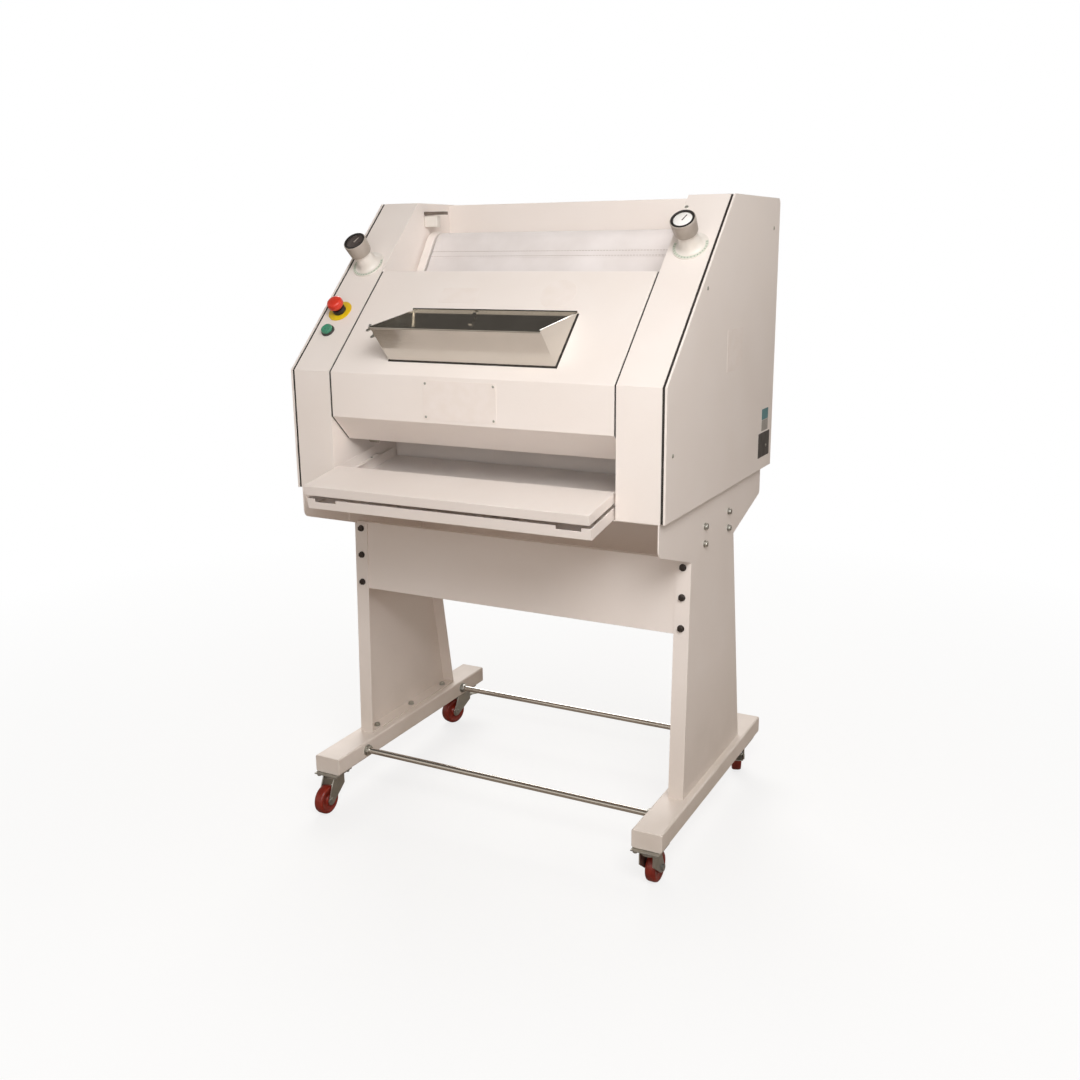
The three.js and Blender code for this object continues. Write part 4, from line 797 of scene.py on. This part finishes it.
stitches.data.transform(Matrix.Translation(firstAt) @ rightTurn)
for count, offset in ((splice["stitches"], (splice["pitch"], 0, 0)),
                      (splice["rows"], (0, splice["apart"], 0))):
    repeat = stitches.modifiers.new("seam", "ARRAY")
    repeat.count = count
    repeat.use_relative_offset = False
    repeat.use_constant_offset = True
    repeat.constant_offset_displace = Vector(offset) * mm
applyModifiers(stitches)
place(stitches, "felt_belt_stitches", bodyOf["felt_belt"], "sewingThread", spliceAt, feltBelt["smooth"])
print("felt belt wrapped")


# Safety switch: a pale body under a grey-brown actuator bar, on the recess's left wall
safetySwitch = {   # outline's width, depth and corner, height, softened edge, and place
    "body": ((38, 19.6, 2), 27, 0.8, (-350.2, 122, 1493.6)),
    "bar": ((61, 21.4, 1.6), 7.8, 0.9, (-338.8, 122, 1524.1)),
}
for part, finishName in (("body", "nylonPale"), ("bar", "actuatorGrey")):
    outline, height, edge, at = safetySwitch[part]
    piece = plateShape(roundedOutline(*outline), height)
    softenEdges(piece, edge)
    place(piece, f"safety_switch_{part}", "frame", finishName, Matrix.Translation(Vector(at) * mm))
    if part == "body":
        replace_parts(piece, "safety_switch")


# Black rubber strips in the seams beside the front cover, bedded on the cabinets: painted shade, as dark as deep
# shadow in the seams
seamShadeStrip = {"inner": 365.6, "outer": 369.5, "below": 1.0, "depth": 9, "topUp": 326.5, "noseZ": 1054,
         "run": 61, "drop": 62, "edge": 0.8}


def seamShadeStripOutline():
    noseY, noseZ = slope["frontY"], seamShadeStrip["noseZ"]
    path = [slopePoint(0, seamShadeStrip["topUp"]) / mm, slopePoint(0, 0) / mm, Vector((0, noseY, noseZ)),
            Vector((0, noseY + seamShadeStrip["run"], noseZ - seamShadeStrip["drop"]))]
    offsets = []
    for depth in (seamShadeStrip["below"], seamShadeStrip["below"] + seamShadeStrip["depth"]):
        line = []
        for i, point in enumerate(path):
            ways = [(path[j + 1] - path[j]).normalized() for j in (i - 1, i) if 0 <= j < len(path) - 1]
            inward = [Vector((0, -way.z, way.y)) for way in ways]
            total = sum(inward, Vector())
            line.append(point + total * depth * len(inward) / total.length_squared)
        offsets.append(line)
    return [(p.y, p.z) for p in [*offsets[0], *reversed(offsets[1])]]


seamShadeStripShape = plateShape(seamShadeStripOutline(), seamShadeStrip["outer"] - seamShadeStrip["inner"], "X")
softenEdges(seamShadeStripShape, seamShadeStrip["edge"])
# painted shade: one black strip in each seam
for side, start in (("right", seamShadeStrip["inner"]), ("left", -seamShadeStrip["outer"])):
    turn = Matrix.Translation((start * mm, 0, 0))
    another(seamShadeStripShape, f"{side}_seam_shade_strip", turn, "frame", "nitrileExtruded")
discard(seamShadeStripShape)

# Hopper: the rolled edge along the outside of its front wall, and the gasket round three of its sides
bead = {"half": 215.5, "up": 44.9, "height": 106.2, "radius": 2.6, "steps": 8, "edge": 0.3, "sharpest": 60}
beadOutline = list(arcPoints((bead["up"], bead["height"]), bead["radius"], 90, 270, bead["steps"]))
beadShape = plateShape(beadOutline, 2 * bead["half"], "X")
beadAt = Matrix.Translation(slopePoint(-bead["half"], 0)) @ slopeTurn
place(beadShape, "hopper_front_bead", "cover", "stainless", beadAt)
softenEdges(beadShape, bead["edge"], 2, bead["sharpest"])
gasket = {"half": 218.6, "inner": 216.2, "front": 38.4, "foot": 40.8, "back": 196, "rise": 1.8, "edge": 0.4}


def gasketOutline():
    half, inner, front, foot, back = (gasket[key] for key in ("half", "inner", "front", "foot", "back"))
    return [(-half, front), (half, front), (half, back), (inner, back), (inner, foot), (-inner, foot),
            (-inner, back), (-half, back)]


gasketShape = plateShape(gasketOutline(), gasket["rise"])
place(gasketShape, "hopper_gasket", "cover", "nitrileExtruded", Matrix.Translation(slopePoint(0, 0)) @ slopeTurn)
softenEdges(gasketShape, gasket["edge"])
print("seam strips, hopper edge and gasket laid")


# Fasteners: one hexagon bolt with its washer and one domed cross-head screw, copied to their places
boltForm = {"crown": 0.2, "washer": 1.6, "bulge": 0.2, "chamfer": 0.3, "steps": 28}


def makeBolt(across, height, washer):
    thick, bulge, chamfer = (boltForm[key] for key in ("washer", "bulge", "chamfer"))
    head = makeNut(across, height, across * boltForm["crown"])
    disc = turnShape([(0, 0), (washer, 0), (washer + bulge, chamfer), (washer + bulge, thick - chamfer),
                      (washer - bulge, thick), (0, thick)], boltForm["steps"])
    head.data.transform(Matrix.Translation((0, 0, thick * mm)))
    choose(head)
    disc.select_set(True)
    bpy.ops.object.join()
    return head


# Shares of the head's radius and height
screwForm = {"dome": ((0, 1), (0.45, 0.93), (0.8, 0.66), (1, 0.2), (1, 0), (0, 0)), "steps": 24,
             "slotHalf": 0.65, "slotWide": 0.12, "slotHeights": (0.55, 1.45)}


def makeScrew(radius, height):
    screw = turnShape([(radius * u, height * v) for u, v in screwForm["dome"]], screwForm["steps"])
    long, wide = radius * screwForm["slotHalf"], radius * screwForm["slotWide"]
    low, high = [height * share for share in screwForm["slotHeights"]]
    for u, v in ((long, wide), (wide, long)):
        cutAway(screw, makeBlock((-u, -v, low), (u, v, high)))
    return screw


fastenerShapes = {   # hexagons by width, height and washer radius; screws by radius and height
    "bolt": makeBolt(13, 5.3, 8.4), "smallBolt": makeBolt(10, 4, 6.2), "screw": makeScrew(4.6, 1.9),
    "smallScrew": makeScrew(3, 1.3),
}
legFace = {"x": 450, "soleZ": 151, "topZ": 738, "heights": (724.5, 652.9, 578.5)}
legFlanges = {"front": (-139, 20, 90), "rear": (288, -98, -90)}   # Y at the sole, lean by the top, way it faces
gussetBolts = {"x": 470, "at": ((-30, 804), (-30, 762), (144, 804), (144, 762))}
soleBolts = {"x": 447, "z": 154, "at": (-95, 75, 245)}
casterBolts = {"x": 449.5, "z": 102, "half": 26, "centres": {"front": -297, "rear": 357}}
panelScrews = {"x": 483, "at": ((-91, 1350), (-287, 1013.5), (400, 1480), (400, 930))}
backScrews = {"x": 356, "y": 448, "at": (905, 1060, 1215, 1370, 1500)}
railScrew = {"x": 358.4, "y": -185, "z": 931.8, "slope": 10}
knobStripScrew = (376, 528)
corners = ((-1, -1), (1, -1), (1, 1), (-1, 1))
fasteners = []   # shape, name, place in millimetres, turn, body and finish


def fasten(shape, name, at, turn, body="frame", finishName="zinc"):
    fasteners.append((shape, name, at, turn, body, finishName))


for way, side, outward in ((-1, "left", leftTurn), (1, "right", rightTurn)):
    for i, (y, z) in enumerate(gussetBolts["at"]):
        fasten("bolt", f"{side}_gusset_bolt_{i}", (way * gussetBolts["x"], y, z), outward)
    for label, (soleY, lean, facing) in legFlanges.items():
        rise = legFace["topZ"] - legFace["soleZ"]
        turn = Matrix.Rotation(math.radians(facing) - math.atan2(lean, rise), 4, "X")
        for i, z in enumerate(legFace["heights"]):
            at = (way * legFace["x"], soleY + lean * (z - legFace["soleZ"]) / rise, z)
            fasten("bolt", f"{side}_leg_{label}_bolt_{i}", at, turn, finishName="blackOxide")
    for i, y in enumerate(soleBolts["at"]):
        fasten("bolt", f"{side}_sole_bolt_{i}", (way * soleBolts["x"], y, soleBolts["z"]), Matrix())
    for label, y in casterBolts["centres"].items():
        reach = casterBolts["half"]
        for i, (u, v) in enumerate(corners):
            at = (way * casterBolts["x"] + u * reach, y + v * reach, casterBolts["z"])
            fasten("smallBolt", f"{side}_{label}_caster_bolt_{i}", at, Matrix.Rotation(math.pi, 4, "X"))
    for i, (y, z) in enumerate(panelScrews["at"]):
        fasten("screw", f"{side}_panel_screw_{i}", (way * panelScrews["x"], y, z), outward)
    for i, z in enumerate(backScrews["at"]):
        fasten("screw", f"{side}_back_screw_{i}", (way * backScrews["x"], backScrews["y"], z), backTurn)
    fasten("smallScrew", f"{side}_rail_screw", (way * railScrew["x"], railScrew["y"], railScrew["z"]),
           Matrix.Rotation(math.radians(railScrew["slope"]), 4, "X"))
fasten("screw", "knob_strip_screw", slopePoint(*knobStripScrew) / mm, slopeTurn)

# Bare plates and labels: nothing is printed on them
barePlates = {   # width, height, corner radius, thickness, place in millimetres, turn, body and finish
    "name_plate": (191, 90, 5, 0.9, (-12.5, -325, 1106), frontTurn, "cover", "vinylPale"),
    "cover_label": (100, 48, 3, 0.4, slopePoint(-113, 248) / mm, slopeTurn, "cover", "vinylPale"),
    "cover_spot": (88, 88, 43.9, 0.4, slopePoint(146, 255) / mm, slopeTurn, "cover", "vinylPale"),
    "panel_label_teal": (28, 55, 2, 0.4, (483, 384, 1015), rightTurn, "frame", "vinylTeal"),
    "panel_label_grey": (28, 55, 2, 0.4, (483, 384, 986), rightTurn, "frame", "vinylGrey"),
    "panel_plate_dark": (64, 95, 2, 0.8, (483, 380.5, 936), rightTurn, "frame", "anodisedDark"),
    "panel_label_pale": (98, 116, 3, 0.4, (483, 115, 1202), rightTurn, "frame", "vinylPale"),
}
plateForm = {"steps": 8, "edge": 0.3, "thickToEdge": 2.2}
for name, (width, height, corner, thick, at, turn, body, finishName) in barePlates.items():
    plate = plateShape(roundedOutline(width, height, corner, plateForm["steps"]), thick)
    place(plate, name, body, finishName, Matrix.Translation(Vector(at) * mm) @ turn)
    softenEdges(plate, min(plateForm["edge"], thick / plateForm["thickToEdge"]))
screwInset = 7   # from the name plate's edges
width, height, corner, thick, (x, y, z), turn, body, finishName = barePlates["name_plate"]
for i, (u, v) in enumerate(corners):
    at = (x + u * (width / 2 - screwInset), y - thick, z + v * (height / 2 - screwInset))
    fasten("smallScrew", f"name_plate_screw_{i}", at, turn, body)

for shape, name, at, turn, body, finishName in fasteners:
    another(fastenerShapes[shape], name, Matrix.Translation(Vector(at) * mm) @ turn, body, finishName)
for shape in fastenerShapes.values():
    discard(shape)
print("fasteners and plates set:", len(fasteners) + len(barePlates))


# Room: a pale floor that keeps the shadow and fades to white; for everything but the camera it is the
# grey-brown studio floor, and the ceiling is dark, so metal has something to show
room = {"floor": "#F6F4F1", "studioFloor": "#A09489", "roughness": 0.85, "size": 60, "fadeFrom": 0.5,
        "fadeTo": 3.0, "leastWhite": 0.75, "light": "#F7EEE4", "level": 0.34, "ceiling": 0.1,
        "ceilingFrom": 0.3, "ceilingTo": 0.75}


def seenPlainly(tree, rays):   # by the camera, or through something clear
    return combine(tree, "MAXIMUM", rays["Is Camera Ray"], rays["Is Transmission Ray"])


floorMaterial, tree, shader, floorPlace = startMaterial(
    "floorPale", {"colour": room["floor"], "roughness": room["roughness"]})
plainSight = seenPlainly(tree, addNode(tree, "ShaderNodeLightPath").outputs)
floorColour = mixColours(tree, plainSight, room["studioFloor"], room["floor"])
tree.links.new(floorColour, shader.inputs["Base Color"])
away = addNode(tree, "ShaderNodeVectorMath", {"operation": "LENGTH"}, {"Vector": floorPlace}).outputs["Value"]
fade = spread(tree, away, room["leastWhite"], 1, room["fadeFrom"], room["fadeTo"])
seen = combine(tree, "MULTIPLY", fade, plainSight)
glow = addNode(tree, "ShaderNodeEmission", {"Color": (1, 1, 1, 1), "Strength": 1}).outputs["Emission"]
blend = addNode(tree, "ShaderNodeMixShader", {}, {0: seen, 1: shader.outputs["BSDF"], 2: glow})
tree.links.new(blend.outputs["Shader"], tree.nodes["Material Output"].inputs["Surface"])
deselectAll()
bpy.ops.mesh.primitive_plane_add(size=room["size"], location=(0, 0, 0))
floor = bpy.context.object
floor.name = "studioFloor"
floor.data.materials.append(floorMaterial)

world = bpy.data.worlds.new("studioSurround")
bpy.context.scene.world = world
world.use_nodes = True
tree = world.node_tree
surround = tree.nodes["Background"]
rays = addNode(tree, "ShaderNodeLightPath").outputs
direction = addNode(tree, "ShaderNodeTexCoord").outputs["Generated"]
rise = addNode(tree, "ShaderNodeSeparateXYZ", {}, {"Vector": direction}).outputs["Z"]
mirrored = spread(tree, rise, 1, room["ceiling"], room["ceilingFrom"], room["ceilingTo"])
unseen = addNode(tree, "ShaderNodeMix", {2: room["level"]}, {0: rays["Is Glossy Ray"], 3: mirrored})
plainSight = seenPlainly(tree, rays)
level = addNode(tree, "ShaderNodeMix", {3: 1.0}, {0: plainSight, 2: unseen.outputs[0]})
tree.links.new(mixColours(tree, plainSight, room["light"], "#FFFFFF"), surround.inputs["Color"])
tree.links.new(level.outputs[0], surround.inputs["Strength"])
print("room set")
